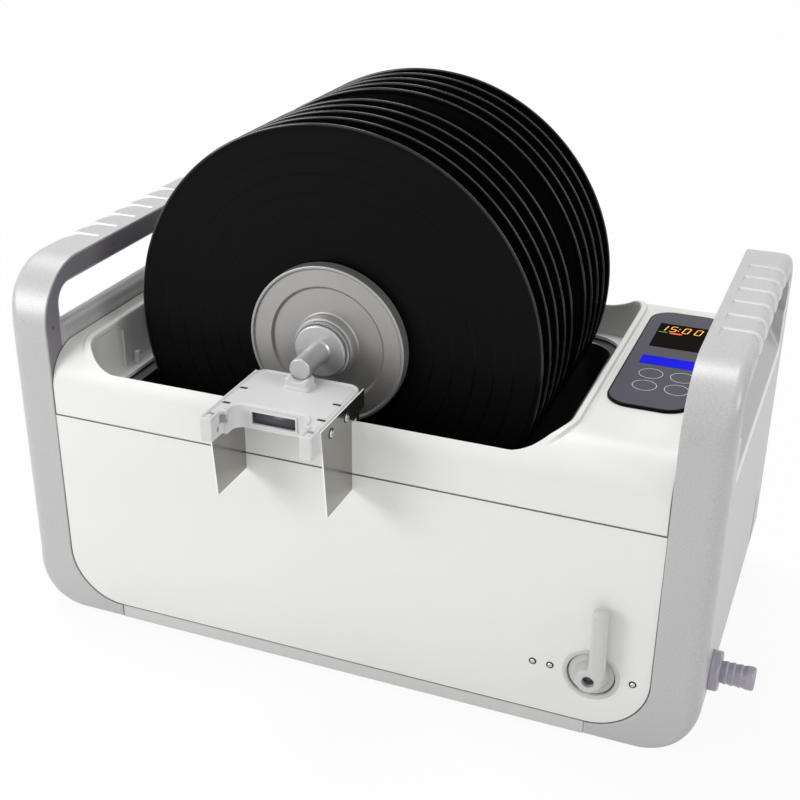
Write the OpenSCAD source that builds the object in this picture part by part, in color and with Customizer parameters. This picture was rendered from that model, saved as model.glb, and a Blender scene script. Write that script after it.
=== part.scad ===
// Record cleaning machine: an ultrasonic tank under a white cover between two grey end frames,
// with ten records on a spindle that a geared motor turns at the rear.
// Millimetres. X runs along the length, Y front to back, Z up.
// The origin is on the surface the feet stand on, under the centre of the whole machine.

/* [Housing] */
// Width of the white housing between the end frames
housing_w = 445; // [425:1:540]
// Depth of the housing, front to back
housing_d = 280; // [275:1:340]
// Height of the cover's flat top above the base
cover_h = 215.5; // [200:0.5:240]
// Height of the seam between the lower panels and the cover
seam_h = 166; // [130:1:170]
// Wall thickness of the mouldings
wall = 3; // [2.5:0.5:4]
// Radius of the cover's front and rear top edges
cover_r = 30; // [20:1:36]
// Radius of the lower corners of the front and rear panels
panel_r = 42; // [20:1:50]
// Height of the grey strip under the panels
strip_h = 10.5; // [8:0.5:16]
// Gap at the seams between mouldings
seam_gap = 0.3; // [0.2:0.1:0.6]

/* [End frames] */
// Thickness of an end frame
frame_t = 33; // [26:1:45]
// Height of the top of the handle above the base
handle_h = 274.5; // [268:0.5:330]
// Radius of the end frame's top corners
frame_r = 46; // [35:1:60]
// Radius of the end frame's outer lower edge
foot_edge_r = 40; // [15:1:45]
// Thickness of the handle bar, top to underside
bar_h = 17; // [14:1:24]
// Depth of the upright at each end of the handle
post_d = 19; // [15:1:30]
// Height of the sill under the handle opening
sill_h = 228; // [222:0.5:234]
// Skin thickness of the end frame
skin = 2.6; // [2:0.2:4]
// Drop of the outer finger scoop below the sill
scoop_h = 34; // [10:1:45]
// Number of finger grips on each handle
grip_n = 6; // [3:1:8]
// Distance between finger grips
grip_pitch = 25; // [18:1:28]

/* [Feet] */
// Height of a rubber foot
foot_h = 4; // [3:0.5:10]
// Diameter of a rubber foot
foot_d = 24; // [16:1:36]
// Distance of a foot's centre from the front or rear face
foot_inset = 42; // [30:1:60]

/* [Opening and well] */
// Width of the opening in the cover
well_w = 356; // [340:1:370]
// Distance from the housing's left side to the opening
well_side = 15.8; // [12:0.1:24]
// Distance from the housing's front and rear faces to the opening
well_edge = 6.3; // [6.1:0.1:9]
// Corner radius of the opening
well_r = 34; // [20:1:45]
// Height of the ledge round the tank
ledge_h = 178; // [170:1:182]
// Width of the ledge at the left and right
ledge_w = 12; // [8:1:16]

/* [Tank] */
// Height of the tank's floor, inside
tank_floor = 62; // [58:1:75]
// Thickness of the tank's steel
steel = 1; // [0.8:0.1:1.5]
// Distance from the opening's left and right edges to the tank's inside
tank_side = 20; // [16:1:30]
// Distance from the opening's front and rear edges to the tank's inside
tank_edge = 14; // [10:1:20]
// Corner radius of the tank
tank_r = 24; // [15:1:40]
// Thickness of the rubber gasket under the ledge
gasket_t = 1.5; // [1:0.5:3]

/* [Records] */
// Number of records on each side of the centre spacer
record_half = 5; // [1:1:5]
// Diameter of a record
record_d = 301.6; // [250:0.1:302]
// Thickness of a record
record_t = 1.6; // [1.2:0.1:2.4]
// Distance from one record to the next
record_pitch = 18.73; // [12:0.01:19]
// Distance from the front face to the first record
record_front = 59.5; // [56:0.1:66]
// Diameter of a spacer between two records
spacer_d = 104; // [100:1:110]

/* [Spindle] */
// Height of the spindle above the base
spindle_h = 232.4; // [225:0.1:245]
// Diameter of the rod through the records
rod_d = 7; // [6:0.1:7.1]
// Diameter of the journals that rest in the cradles
journal_d = 15; // [12:0.5:18]
// Running clearance of a round fit, on the radius
run_gap = 0.08; // [0.05:0.01:0.1]
// Diameter of the hub discs
hub_d = 115; // [106:1:116]
// Thickness of the front hub disc
hub_t = 10; // [8:0.5:10]
// Diameter of the clamp knob
knob_d = 40.5; // [30:0.5:46]
// Distance from the front face to the end of the front journal
journal_in = 5.8; // [4:0.1:9]

/* [Cradles] */
// Width of a cradle plate
cradle_w = 78; // [70:1:90]
// Reach of a cradle in front of the housing
cradle_reach = 60; // [52:1:70]
// Reach of a cradle over the opening
cradle_in = 22; // [20:0.5:22]
// Height of the cradle plate's top above the base
cradle_h = 220; // [218.5:0.5:222]
// Width of the recess between the arms
recess_w = 54; // [46:1:56]
// Thickness of a steel flange
flange_t = 1.2; // [1:0.1:2]
// Height of a flange's lower edge above the base
flange_low = 154; // [120:1:165]

/* [Drive] */
// Teeth on the spindle gear
gear_teeth = 44; // [40:4:48]
// Teeth on the motor pinion
pinion_teeth = 22; // [20:2:24]
// Gear module: pitch diameter over teeth
gear_module = 1; // [0.9:0.05:1.1]

/* [Drain] */
// Distance of the valve's axis from the housing's right side
valve_side = 40; // [38:1:46]
// Height of the valve's axis above the base
valve_h = 50; // [44:1:51]
// Distance of the drain pipe's axis from the front face
drain_y = 36; // [34:1:40]
// Outer diameter of the drain pipe
pipe_d = 17; // [14:1:18]
// Outer diameter of the hose barb
barb_d = 16; // [12:1:20]
// Length of the hose barb outside its nut
barb_l = 22.5; // [18:0.5:30]
// Size of the hexagon nut across its flats
nut_af = 26; // [24:1:32]
// Thickness of the hexagon nut
nut_t = 6.5; // [5:0.5:9]

/* [Control panel] */
// Width of the control panel
panel_w = 56; // [50:1:57]
// Length of the control panel, front to back
panel_l = 172; // [150:1:180]
// Thickness of the control panel
panel_t = 2.4; // [1.5:0.1:4]

/* [Hidden] */
eps = 0.01;
$fn = 64;

// The housing's inner sides, faces and base in the machine's frame
length = housing_w + 2 * frame_t + nut_t + barb_l;
x_left = -length / 2 + frame_t;
x_right = x_left + housing_w;
x_outer = x_right + frame_t;
y_front = -housing_d / 2;
z_base = foot_h;
z_cover = z_base + cover_h;
z_seam = z_base + seam_h;
z_ledge = z_base + ledge_h;
spindle_x = x_left + well_side + well_w / 2;
spindle_z = z_base + spindle_h;
control_x = (spindle_x + well_w / 2 + x_right) / 2 + 2.6;
valve_x = x_right - valve_side;
valve_z = z_base + valve_h;
drain_yy = y_front + drain_y;

// The opening, the ledge and the tank share one outline
well_d = housing_d - 2 * well_edge;
tank_w = well_w - 2 * tank_side;
tank_d = well_d - 2 * tank_edge;
rim_w = tank_side - ledge_w;
rim_under = 5;
liner_t = 2.4;
ledge_t = 2.5;
z_gasket = z_ledge - ledge_t - gasket_t;
z_rim = z_gasket - steel;

// Where the records lie
stack = (2 * record_half) * record_pitch;
first_y = y_front + record_front;
last_y = first_y + stack;
seal_t = 1.5;
rear_hub_t = 6.5;
hub_front_y = first_y - seal_t - hub_t;
boss_t = 4.5;
boss_d = 48;
knob_t = 6;
knob_y = hub_front_y - boss_t - knob_t;
rear_hub_y = last_y + record_t + seal_t;

// Spindle drive
gear_r = gear_teeth * gear_module / 2;
pinion_r = pinion_teeth * gear_module / 2;
motor_z = spindle_z - gear_r - pinion_r;
gear_t = 7;
saddle_l = 12;
saddle_h = 7.5;
gear_y = -y_front + 4;
gear_slot = 12;
motor_y = gear_y + gear_slot;
cradle_skirt = 16;
cradle_t = 3;
recess_in = 33;

// The cover's lip and the screen in the control panel
lip_h = 1.4;
lip_w = 5;
display_y = y_front + 192;
display_w = 36;
display_l = 46;

// The handle opening, the scoop under its outer edge and the plate on the frame's inner side
face_out = 1;
base_r = 4;
opening_l = housing_d + 2 * face_out - 2 * post_d;
opening_top = handle_h - bar_h;
opening_r = frame_r - bar_h;
scoop_in = 12;
plate_t = 2;
plate_rim = 1.6;
plate_fit = 0.15;
plate_screws = [
  for (side = [-1, 1]) [side * (housing_d / 2 - 8), z_base + sill_h + 2.2],
  for (side = [-1, 1]) [side * (housing_d / 2 - 92), z_base + handle_h - 8]];
foot_x = [x_left + panel_r + foot_d, x_right - panel_r - foot_d];
foot_y = [y_front + foot_inset, -y_front - foot_inset];

// What hangs under the tank and on its sides
tank_drain_x = spindle_x + tank_w / 2 - 22;
z_floor_under = z_base + tank_floor - steel;
horn_x = [spindle_x - 92, spindle_x + 70];
horn_y = [-62, 62];
horn_h = 20;
ring_h = 5;
weight_h = 11;

// The electrics on the right
board_x = x_right - 8;
board_t = 1.6;
board_y = [-60, 100];
board_z = [z_base + 48, z_base + seam_h - 6];
fan_z = z_base + 122;
fan_size = 50;
fan_y = -y_front - wall - 15;
fan_r = 20;
inlet_z = z_base + 62;
inlet_w = 27;
inlet_h = 20;

// The drain valve and its lever
recess_r = 19;
recess_depth = 10;
screw_dx = [-40, -28, 28];
stem_r = 4;
ball_r = 8.5;
ball_gap = 0.3;
valve_r = 13;
valve_l = 42;
socket_l = 8;
y_ring_back = y_front + recess_depth + 2;
pipe_bore = pipe_d / 2 - 2;
lever_front = -9;
arm_w = 12;
arm_t = 9;
arm_front = -12;
arm_dx = 6;
arm_top = 63;
stem_front = 3;

// The cradles, the bush and the motor's case
cradle_screw_y = [-8.9, -33];
screw_z = z_base + 211.8;
bush_wall = 2;
bush_r = journal_d / 2 + bush_wall;
case_w = recess_w - 1;
case_l = cradle_reach - gear_slot - 6;
case_wall = 2.2;
case_low = motor_z - 25;
case_high = z_base + cradle_h + 3;
lug_l = 15;
lug_t = 3;
lug_out = 7.5;
lug_x = recess_w / 2 + 4.4;
lug_screw_y = -(motor_y + 1 + case_l - lug_l / 2 + y_front);

// One moulding's outline in front view or side view: a rectangle with two corner radii
module outline(w, h, top_r, low_r) {
  translate([-w / 2, low_r]) square([w, h - top_r - low_r]);
  translate([-w / 2 + top_r, h - top_r - eps]) square([w - 2 * top_r, top_r + eps]);
  translate([-w / 2 + low_r, 0]) square([w - 2 * low_r, low_r + eps]);
  for (side = [-1, 1]) {
    translate([side * (w / 2 - top_r), h - top_r]) circle(r = top_r);
    translate([side * (w / 2 - low_r), low_r]) circle(r = low_r);
  }
}

// A plan rectangle with equal corner radii, centred
module round_rect(w, d, r) {
  square([w - 2 * r, d], center = true);
  square([w, d - 2 * r], center = true);
  for (sx = [-1, 1], sy = [-1, 1])
    translate([sx * (w / 2 - r), sy * (d / 2 - r)]) circle(r = r);
}

// Extrusions along X and Y: the outline's second axis is always Z
module along_x(l) { rotate([90, 0, 90]) linear_extrude(l) children(); }
module along_y(l) { translate([0, l, 0]) rotate([90, 0, 0]) linear_extrude(l) children(); }

// A rod or tube along Y or X from a starting point
module rod_y(r, l) { rotate([-90, 0, 0]) cylinder(r = r, h = l); }
module rod_x(r, l) { rotate([0, 90, 0]) cylinder(r = r, h = l); }

// The opening's outline grown by a margin, centred on the spindle
module well_outline(grow) {
  translate([spindle_x, 0]) round_rect(well_w + 2 * grow, well_d + 2 * grow, well_r + grow);
}

// The tank's inside outline grown by a margin
module tank_outline(grow) {
  translate([spindle_x, 0]) round_rect(tank_w + 2 * grow, tank_d + 2 * grow, tank_r + grow);
}

// The white front panel's outline in front view, from the strip up to the seam
module panel_outline(grow) {
  translate([(x_left + x_right) / 2, z_base + strip_h - grow])
    outline(housing_w + 2 * grow, seam_h - strip_h + grow, eps, panel_r + grow);
}

module base_tray() {
  tray_l = housing_w - 2 * panel_r;
  color("gainsboro") difference() {
    union() {
      translate([x_left + panel_r, y_front, z_base]) cube([tray_l, housing_d, wall]);
      for (y = [y_front, -y_front - wall])
        translate([x_left + panel_r, y, z_base]) cube([tray_l, wall, strip_h - seam_gap]);
    }
    for (i = [0:7])
      translate([control_x - 120 + i * 10, -20, z_base - 1]) cube([4, 60, wall + 2]);
  }
}

module front_panel() {
  color("white") difference() {
    translate([0, y_front, 0]) along_y(wall) intersection() {
      panel_outline(-seam_gap / 2);
      translate([x_left, z_base]) square([housing_w, seam_h - seam_gap]);
    }
    translate([valve_x, y_front - 1, valve_z]) rod_y(recess_r + seam_gap, wall + 2);
    for (dx = screw_dx)
      translate([valve_x + dx, y_front - 1, valve_z]) rod_y(1.6, wall + 2);
  }
}

module rear_panel() {
  color("white") difference() {
    translate([0, -y_front - wall, 0]) along_y(wall) intersection() {
      panel_outline(-seam_gap / 2);
      translate([x_left, z_base]) square([housing_w, seam_h - seam_gap]);
    }
    for (i = [-3:3])
      translate([valve_x + i * 6 - 1.5, -y_front - wall - 1, fan_z - 20]) cube([3, wall + 2, 40]);
    translate([valve_x - inlet_w / 2 - seam_gap, -y_front - wall - 1, inlet_z - inlet_h / 2 - seam_gap])
      cube([inlet_w + 2 * seam_gap, wall + 2, inlet_h + 2 * seam_gap]);
  }
}

// The cover's side profile, shrunk by a margin
module cover_profile(inset) {
  intersection() {
    translate([0, z_base]) outline(housing_d - 2 * inset, cover_h - inset, cover_r - inset, eps);
    translate([-housing_d, z_seam]) square([2 * housing_d, cover_h]);
  }
}

module top_cover() {
  color("white") difference() {
    union() {
      translate([x_left + seam_gap / 2, 0, 0]) along_x(housing_w - seam_gap) cover_profile(0);
      translate([0, 0, z_cover - eps]) linear_extrude(lip_h) intersection() {
        well_outline(lip_w);
        square([2 * length, housing_d - 2 * cover_r], center = true);
      }
    }
    translate([x_left + wall, 0, 0]) along_x(housing_w - 2 * wall) cover_profile(wall);
    translate([0, 0, z_seam - 1]) linear_extrude(cover_h) well_outline(0);
    translate([x_left + wall, -housing_d, z_base]) cube([housing_w - 2 * wall, 2 * housing_d, seam_h + eps]);
    translate([control_x - 19, display_y - 24, z_cover - wall - 1]) cube([38, 48, wall + 2]);
  }
}

module well_liner() {
  post_h = 9;
  color("gainsboro") union() {
    intersection() {
      difference() {
        translate([0, 0, z_ledge - ledge_t]) linear_extrude(cover_h) well_outline(liner_t);
        translate([0, 0, z_ledge]) linear_extrude(cover_h) well_outline(0);
        translate([0, 0, z_base]) linear_extrude(cover_h) tank_outline(rim_w);
      }
      translate([x_left, 0, 0]) along_x(housing_w) cover_profile(wall + 0.1);
    }
    translate([spindle_x - well_w / 2 + 5, -60, z_ledge - eps]) cylinder(d = 4.5, h = post_h);
    for (side = [-1, 1], y = [-70, -25, 25, 70])
      translate([spindle_x + side * (well_w / 2 - 0.6) - 1, y - 1, z_ledge - eps])
        cube([2, 2, cover_h - ledge_h - wall - 6]);
  }
}

// The handle opening's outline in side view, grown by a margin
module handle_hole(grow) {
  hole_h = opening_top - sill_h + 2 * grow;
  top_r = opening_r - 14 + grow;
  translate([0, z_base + sill_h - grow]) outline(opening_l + 2 * grow, hole_h, top_r, 6 + grow);
}

// The sloped scoop under the opening's outer edge, for the left frame
module finger_scoop(grow) {
  half = opening_l / 2 - 12 + grow;
  translate([-frame_t - 1, -half, 0]) along_y(2 * half) polygon([
    [0, z_base + sill_h - scoop_h - grow], [0, z_base + opening_top - bar_h],
    [frame_t + 1 - scoop_in + grow, z_base + opening_top - bar_h],
    [frame_t + 1 - scoop_in + grow, z_base + sill_h - grow]]);
}

// The end frame's side outline, shrunk by a margin
module frame_side(inset) {
  translate([0, z_base + inset])
    outline(housing_d + 2 * face_out - 2 * inset, handle_h - 2 * inset, frame_r - inset, base_r - inset);
}

// The end frame's front outline, shrunk by a margin: the outer lower edge is round
module frame_front(inset) {
  x = -frame_t + foot_edge_r;
  z = z_base + foot_edge_r;
  translate([-frame_t + inset, z]) square([frame_t - inset, handle_h]);
  intersection() {
    translate([x, z]) circle(r = foot_edge_r - inset);
    translate([-frame_t, 0]) square([frame_t + min(x, 0), z + eps]);
  }
  if (x < 0)
    translate([x, z_base + inset]) square([-x, foot_edge_r - inset + eps]);
}

// The foot's front outline: it runs from the frame to the strip, under the panel's round corner
module foot_front() {
  x = -frame_t + foot_edge_r;
  turn = max(x, 0);
  difference() {
    union() {
      intersection() {
        translate([x, z_base + foot_edge_r]) circle(r = foot_edge_r);
        square([turn, z_base + foot_edge_r]);
      }
      translate([turn, z_base]) square([panel_r - seam_gap - turn, strip_h + panel_r]);
    }
    translate([-x_left, 0]) panel_outline(seam_gap / 2);
  }
}

// One end frame, drawn as the left one with its inner side at x = 0
module end_frame() {
  half_d = housing_d / 2;
  grip_w = 4;
  grip_h = 0.8;
  grip_in = 7;
  difference() {
    union() {
      intersection() {
        translate([-frame_t, 0, 0]) along_x(frame_t) frame_side(0);
        translate([0, -half_d - face_out, 0]) along_y(housing_d + 2 * face_out) frame_front(0);
      }
      for (y = [-half_d, half_d - wall])
        translate([0, y, 0]) along_y(wall) foot_front();
      intersection() {
        translate([0, -half_d, 0]) along_y(housing_d) foot_front();
        translate([0, -half_d, z_base]) cube([panel_r, housing_d, wall]);
      }
    }
    difference() {
      intersection() {
        translate([-frame_t + skin, 0, 0]) along_x(frame_t - skin) frame_side(skin);
        translate([0, -half_d, 0]) along_y(housing_d) frame_front(skin);
      }
      translate([-frame_t, 0, 0]) along_x(2 * frame_t) handle_hole(skin);
      finger_scoop(skin);
    }
    translate([-plate_t, 0, 0]) along_x(plate_t + 1) difference() {
      intersection() {
        frame_side(plate_rim);
        translate([-housing_d, z_base + strip_h + panel_r]) square([2 * housing_d, handle_h]);
      }
      handle_hole(plate_rim);
    }
    translate([-frame_t - 1, 0, 0]) along_x(2 * frame_t) handle_hole(0);
    finger_scoop(0);
    for (i = [0:grip_n - 1])
      translate([-frame_t - 1, (i - (grip_n - 1) / 2) * grip_pitch, z_base + handle_h - grip_h])
        cube([frame_t + 1 - grip_in, grip_w, 2]);
  }
}

module left_end_frame() {
  color("silver") translate([x_left, 0, 0]) end_frame();
}

module right_end_frame() {
  color("silver") difference() {
    translate([x_right, 0, 0]) mirror([1, 0, 0]) end_frame();
    translate([x_right - 1, drain_yy, valve_z]) rod_x(pipe_d / 2 + run_gap, frame_t + 2);
  }
}

// The dark plate that closes a frame's inner side, with its inner face at x = 0
module handle_plate() {
  difference() {
    translate([-plate_t, 0, 0]) along_x(plate_t - seam_gap / 2) difference() {
      intersection() {
        frame_side(plate_rim + plate_fit);
        translate([-housing_d, z_base + strip_h + panel_r + plate_fit]) square([2 * housing_d, handle_h]);
      }
      handle_hole(plate_rim + plate_fit);
    }
    for (p = plate_screws)
      translate([-plate_t - 1, p[0], p[1]]) rod_x(1.7, plate_t + 2);
  }
}

module left_handle_plate() {
  color("dimgray") translate([x_left, 0, 0]) handle_plate();
}

module right_handle_plate() {
  color("dimgray") difference() {
    translate([x_right, 0, 0]) mirror([1, 0, 0]) handle_plate();
    translate([x_right - 1, drain_yy, valve_z]) rod_x(pipe_d / 2 + run_gap, frame_t + 2);
  }
}

// A small cross-head screw along +X, its head at the origin
module small_screw(head_r, head_t, shank_r, shank_l) {
  difference() {
    union() {
      translate([-shank_l, 0, 0]) rod_x(shank_r, shank_l + eps);
      rod_x(head_r, head_t);
    }
    for (a = [0, 90])
      rotate([a, 0, 0]) translate([head_t * 0.4, -head_r * 0.6, -head_r * 0.12])
        cube([head_t, head_r * 1.2, head_r * 0.24]);
  }
}

module handle_screws() {
  color("dimgray") for (p = plate_screws) {
    translate([x_left, p[0], p[1]]) rotate([0, 0, 180]) mirror([1, 0, 0]) plate_screw();
    translate([x_right, p[0], p[1]]) mirror([1, 0, 0]) plate_screw();
  }
}

module plate_screw() {
  translate([-plate_t, 0, 0]) small_screw(1.4, plate_t - 0.4, 1, 0.01);
}

module feet() {
  color("dimgray") for (x = foot_x, y = foot_y)
    translate([x, y, 0]) rotate_extrude() polygon([
      [0, 0], [foot_d / 2 - 1, 0], [foot_d / 2, 1], [foot_d / 2, foot_h], [0, foot_h]]);
}

module tank() {
  drain_x = tank_drain_x;
  color("lightsteelblue") difference() {
    union() {
      translate([0, 0, z_base + tank_floor - steel])
        linear_extrude(z_rim - z_base - tank_floor + 2 * steel) tank_outline(steel);
      translate([0, 0, z_rim]) linear_extrude(steel) tank_outline(rim_w + rim_under);
    }
    translate([0, 0, z_base + tank_floor]) linear_extrude(cover_h) tank_outline(0);
    translate([drain_x, drain_yy, z_base]) cylinder(r = pipe_d / 2 - 2, h = cover_h);
  }
}

module tank_gasket() {
  color("dimgray") translate([0, 0, z_gasket]) linear_extrude(gasket_t) difference() {
    tank_outline(rim_w + rim_under);
    tank_outline(rim_w + 0.3);
  }
}

module transducer_heads() {
  color("silver") for (x = horn_x, y = horn_y)
    translate([x, y, z_floor_under - horn_h]) difference() {
      cylinder(r1 = 17.5, r2 = 22, h = horn_h);
      translate([0, 0, -1]) cylinder(r = 4, h = 12);
    }
}

module piezo_rings() {
  color("tan") for (x = horn_x, y = horn_y, i = [1, 2])
    translate([x, y, z_floor_under - horn_h - i * ring_h]) difference() {
      cylinder(r = 17.5, h = ring_h - 0.2);
      translate([0, 0, -1]) cylinder(r = 6, h = ring_h + 2);
    }
}

module transducer_weights() {
  z = z_floor_under - horn_h - 2 * ring_h - weight_h;
  color("gray") for (x = horn_x, y = horn_y)
    translate([x, y, z]) {
      cylinder(r = 17.5, h = weight_h);
      translate([0, 0, weight_h - eps]) cylinder(r = 3.5, h = 2 * ring_h + 8);
      translate([0, 0, -5]) cylinder(r = 6.5, h = 5 + eps, $fn = 6);
    }
}

module heater_pads() {
  color("darkorange") for (side = [-1, 1])
    translate([spindle_x + side * (tank_w / 2 + steel + 1), 0, z_base + tank_floor + 45])
      cube([2, tank_d - 3 * tank_r, 60], center = true);
}

module power_board() {
  color("darkgreen") union() {
    difference() {
      translate([board_x - board_t, board_y[0], board_z[0]])
        cube([board_t, board_y[1] - board_y[0], board_z[1] - board_z[0]]);
      for (y = board_y, z = board_z)
        translate([board_x - board_t - 1, y - sign(y) * 6, z + (z == board_z[0] ? 6 : -6)])
          rod_x(1.7, board_t + 2);
    }
    translate([board_x - board_t - 28, board_y[0] + 20, board_z[0] + 12]) cube([28 + eps, 36, 32]);
    translate([board_x - board_t - 22, board_y[0] + 70, board_z[0] + 16]) cube([22 + eps, 14, 70]);
    translate([board_x - board_t - 22, board_y[0] + 96, board_z[0] + 16]) cube([22 + eps, 14, 70]);
    translate([board_x - board_t - 20, board_y[0] + 34, board_z[0] + 76]) rod_x(9, 20 + eps);
    translate([board_x - board_t - 20, board_y[0] + 54, board_z[0] + 92]) rod_x(6, 20 + eps);
  }
}

module board_pillars() {
  color("goldenrod") for (y = board_y, z = board_z)
    translate([board_x, y - sign(y) * 6, z + (z == board_z[0] ? 6 : -6)]) difference() {
      rod_x(3, x_right - board_x + seam_gap / 2);
      translate([-1, 0, 0]) rod_x(1.4, 5);
    }
}

module display_board() {
  color("darkgreen") union() {
    translate([control_x - 24, display_y - 90, z_cover - wall - 6]) cube([48, 120, 1.6]);
    translate([control_x - 16, display_y - 20, z_cover - wall - 4.4 - eps]) cube([32, 40, 6]);
    for (x = [-20, 20], y = [-84, 27])
      translate([control_x + x, display_y + y, z_cover - wall - 4.4 - eps]) cylinder(r = 2.5, h = 4.4 + eps);
  }
}

module control_panel() {
  r = 17;
  color("dimgray") difference() {
    translate([control_x, y_front + 68 + panel_l / 2, z_cover + eps]) linear_extrude(panel_t)
      round_rect(panel_w, panel_l, r);
    translate([control_x, display_y, z_cover + panel_t - 1]) linear_extrude(2)
      square([display_w + 0.2, display_l + 0.2], center = true);
  }
}

module display_window() {
  color("black") translate([control_x, display_y, z_cover + panel_t - 1 + eps]) linear_extrude(0.9)
    square([display_w, display_l], center = true);
}

module fan_frame() {
  color("dimgray") difference() {
    translate([valve_x - fan_size / 2, fan_y, fan_z - fan_size / 2]) cube([fan_size, 15, fan_size]);
    translate([valve_x, fan_y - 1, fan_z]) difference() {
      rod_y(fan_r + 3, 17);
      translate([0, -1, 0]) rod_y(9, 5);
      for (a = [45:90:315])
        rotate([0, a, 0]) translate([0, -1, -1.5]) cube([fan_r + 4, 4, 3]);
    }
    translate([valve_x, fan_y - 2, fan_z]) rod_y(2 + run_gap, 20);
  }
}

module fan_rotor() {
  blades = 7;
  color("black") translate([valve_x, fan_y, fan_z]) {
    rod_y(2, 6);
    translate([0, 4.4, 0]) rod_y(9, 9);
    for (i = [0:blades - 1])
      rotate([0, i * 360 / blades, 0]) translate([8, 5, 0]) rotate([35, 0, 0])
        translate([0, 0, -0.7]) cube([fan_r - 8, 8, 1.4]);
  }
}

module power_inlet() {
  color("black") translate([valve_x, -y_front, inlet_z]) difference() {
    union() {
      translate([-24, 0, -14]) cube([48, 2.5, 28]);
      translate([-inlet_w / 2, -22, -inlet_h / 2]) cube([inlet_w, 22 + eps, inlet_h]);
    }
    difference() {
      translate([-11.5, -14, -7.5]) cube([23, 20, 15]);
      for (i = [-1:1])
        translate([7 * i - 1, -15, i == 0 ? 1.5 : -1.5]) cube([2, 12, 4]);
    }
    for (x = [-20, 20])
      translate([x, -1, 0]) rod_y(1.6, 5);
  }
}

module drain_ring() {
  color("gainsboro") translate([valve_x, y_front, valve_z]) difference() {
    union() {
      translate([0, -0.8, 0]) rod_y(recess_r, 0.8 + eps);
      rod_y(recess_r, recess_depth + 2);
    }
    translate([0, -2, 0]) rod_y(recess_r - 2.2, recess_depth + 2);
    rod_y(stem_r + run_gap, recess_depth + 4);
  }
}

module valve_body() {
  cavity_r = ball_r + ball_gap;
  boss_l = drain_yy - y_ring_back;
  color("goldenrod") translate([valve_x, drain_yy, valve_z]) difference() {
    union() {
      translate([-valve_l / 2, 0, 0]) rod_x(valve_r, valve_l);
      translate([0, -boss_l, 0]) rod_y(stem_r + 4, boss_l);
    }
    translate([0, -cavity_r, 0]) rod_y(cavity_r, 2 * cavity_r);
    translate([-valve_l, 0, 0]) rod_x(pipe_bore, 2 * valve_l);
    for (side = [-1, 1])
      translate([side * valve_l / 2 - socket_l, 0, 0]) rod_x(pipe_d / 2 + plate_fit, 2 * socket_l);
    translate([0, -boss_l - 1, 0]) rod_y(stem_r + run_gap, boss_l);
  }
}

module valve_ball() {
  stem_l = drain_yy - y_front - stem_front;
  color("silver") translate([valve_x, drain_yy, valve_z]) difference() {
    union() {
      sphere(r = ball_r);
      translate([0, -stem_l, 0]) rod_y(stem_r, stem_l);
    }
    translate([0, 0, -2 * ball_r]) cylinder(r = pipe_bore - 1, h = 4 * ball_r);
    translate([0, -stem_l - 1, 0]) rod_y(1.5, 9);
  }
}

module valve_lever() {
  hub_r = 10;
  collar_r = 13;
  collar_y = -5;
  hub_back = 7;
  color("gainsboro") translate([valve_x, y_front, valve_z]) difference() {
    union() {
      translate([0, collar_y, 0]) rod_y(collar_r, hub_back - collar_y);
      translate([0, lever_front, 0]) rod_y(hub_r, hub_back - lever_front);
      for (z = [0, arm_top - arm_w / 2])
        translate([arm_dx, arm_front, z]) rod_y(arm_w / 2, arm_t);
      translate([arm_dx - arm_w / 2, arm_front, 0]) cube([arm_w, arm_t, arm_top - arm_w / 2]);
    }
    translate([0, arm_front - 1, 0]) rod_y(4.4, lever_front + 4 - arm_front + 1);
    translate([0, stem_front, 0]) rod_y(stem_r + 0.02, 20);
    translate([0, arm_front, 0]) rod_y(1.6, 20);
  }
}

module lever_screw() {
  color("gray") translate([valve_x, y_front + lever_front + 4, valve_z]) rotate([0, 0, -90])
    small_screw(3.6, 2, 1.4, 13);
}

module panel_screws() {
  color("gray") for (dx = screw_dx)
    translate([valve_x + dx, y_front, valve_z]) rotate([0, 0, -90]) small_screw(2.8, 1.2, 1.5, 8);
}

module drain_elbow() {
  left = tank_drain_x;
  color("silver") difference() {
    union() {
      translate([left, drain_yy, valve_z]) cylinder(r = pipe_d / 2, h = z_floor_under - valve_z);
      translate([left, drain_yy, valve_z]) sphere(r = pipe_d / 2);
      translate([left, drain_yy, valve_z]) rod_x(pipe_d / 2, valve_x - 13 - left);
    }
    translate([left, drain_yy, valve_z]) cylinder(r = pipe_d / 2 - 2, h = 40);
    translate([left, drain_yy, valve_z]) sphere(r = pipe_d / 2 - 2);
    translate([left, drain_yy, valve_z]) rod_x(pipe_d / 2 - 2, valve_x - left);
  }
}

module drain_pipe() {
  color("silver") translate([valve_x + 13, drain_yy, valve_z]) difference() {
    rod_x(pipe_d / 2, x_outer - valve_x - 13);
    translate([-1, 0, 0]) rod_x(pipe_d / 2 - 2, x_outer - valve_x);
  }
}

module drain_nut() {
  color("thistle") translate([x_outer, drain_yy, valve_z]) difference() {
    rotate([0, 90, 0]) rotate([0, 0, 30]) cylinder(r = nut_af / 2 / cos(30), h = nut_t, $fn = 6);
    translate([-1, 0, 0]) rod_x(barb_d / 2 - 1, nut_t + 2);
  }
}

module drain_barb() {
  ribs = 3;
  tip = 8;
  rib_l = (barb_l - tip) / ribs;
  r = barb_d / 2;
  bore = r - 2.6;
  end = nut_t + barb_l;
  rib = [for (i = [0:ribs - 1]) each [[r - 1.1, i * rib_l], [r - 0.2, (i + 1) * rib_l - eps]]];
  color("thistle") translate([x_outer, drain_yy, valve_z]) rotate([0, 90, 0]) rotate_extrude() polygon(concat(
    [[bore, 0], [r - 1.02, 0], [r - 1.02, nut_t]],
    [for (p = rib) [p[0], p[1] + nut_t]],
    [[r - 1.1, end - tip], [r, end - tip + 1], [r, end], [bore, end]]));
}

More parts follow.
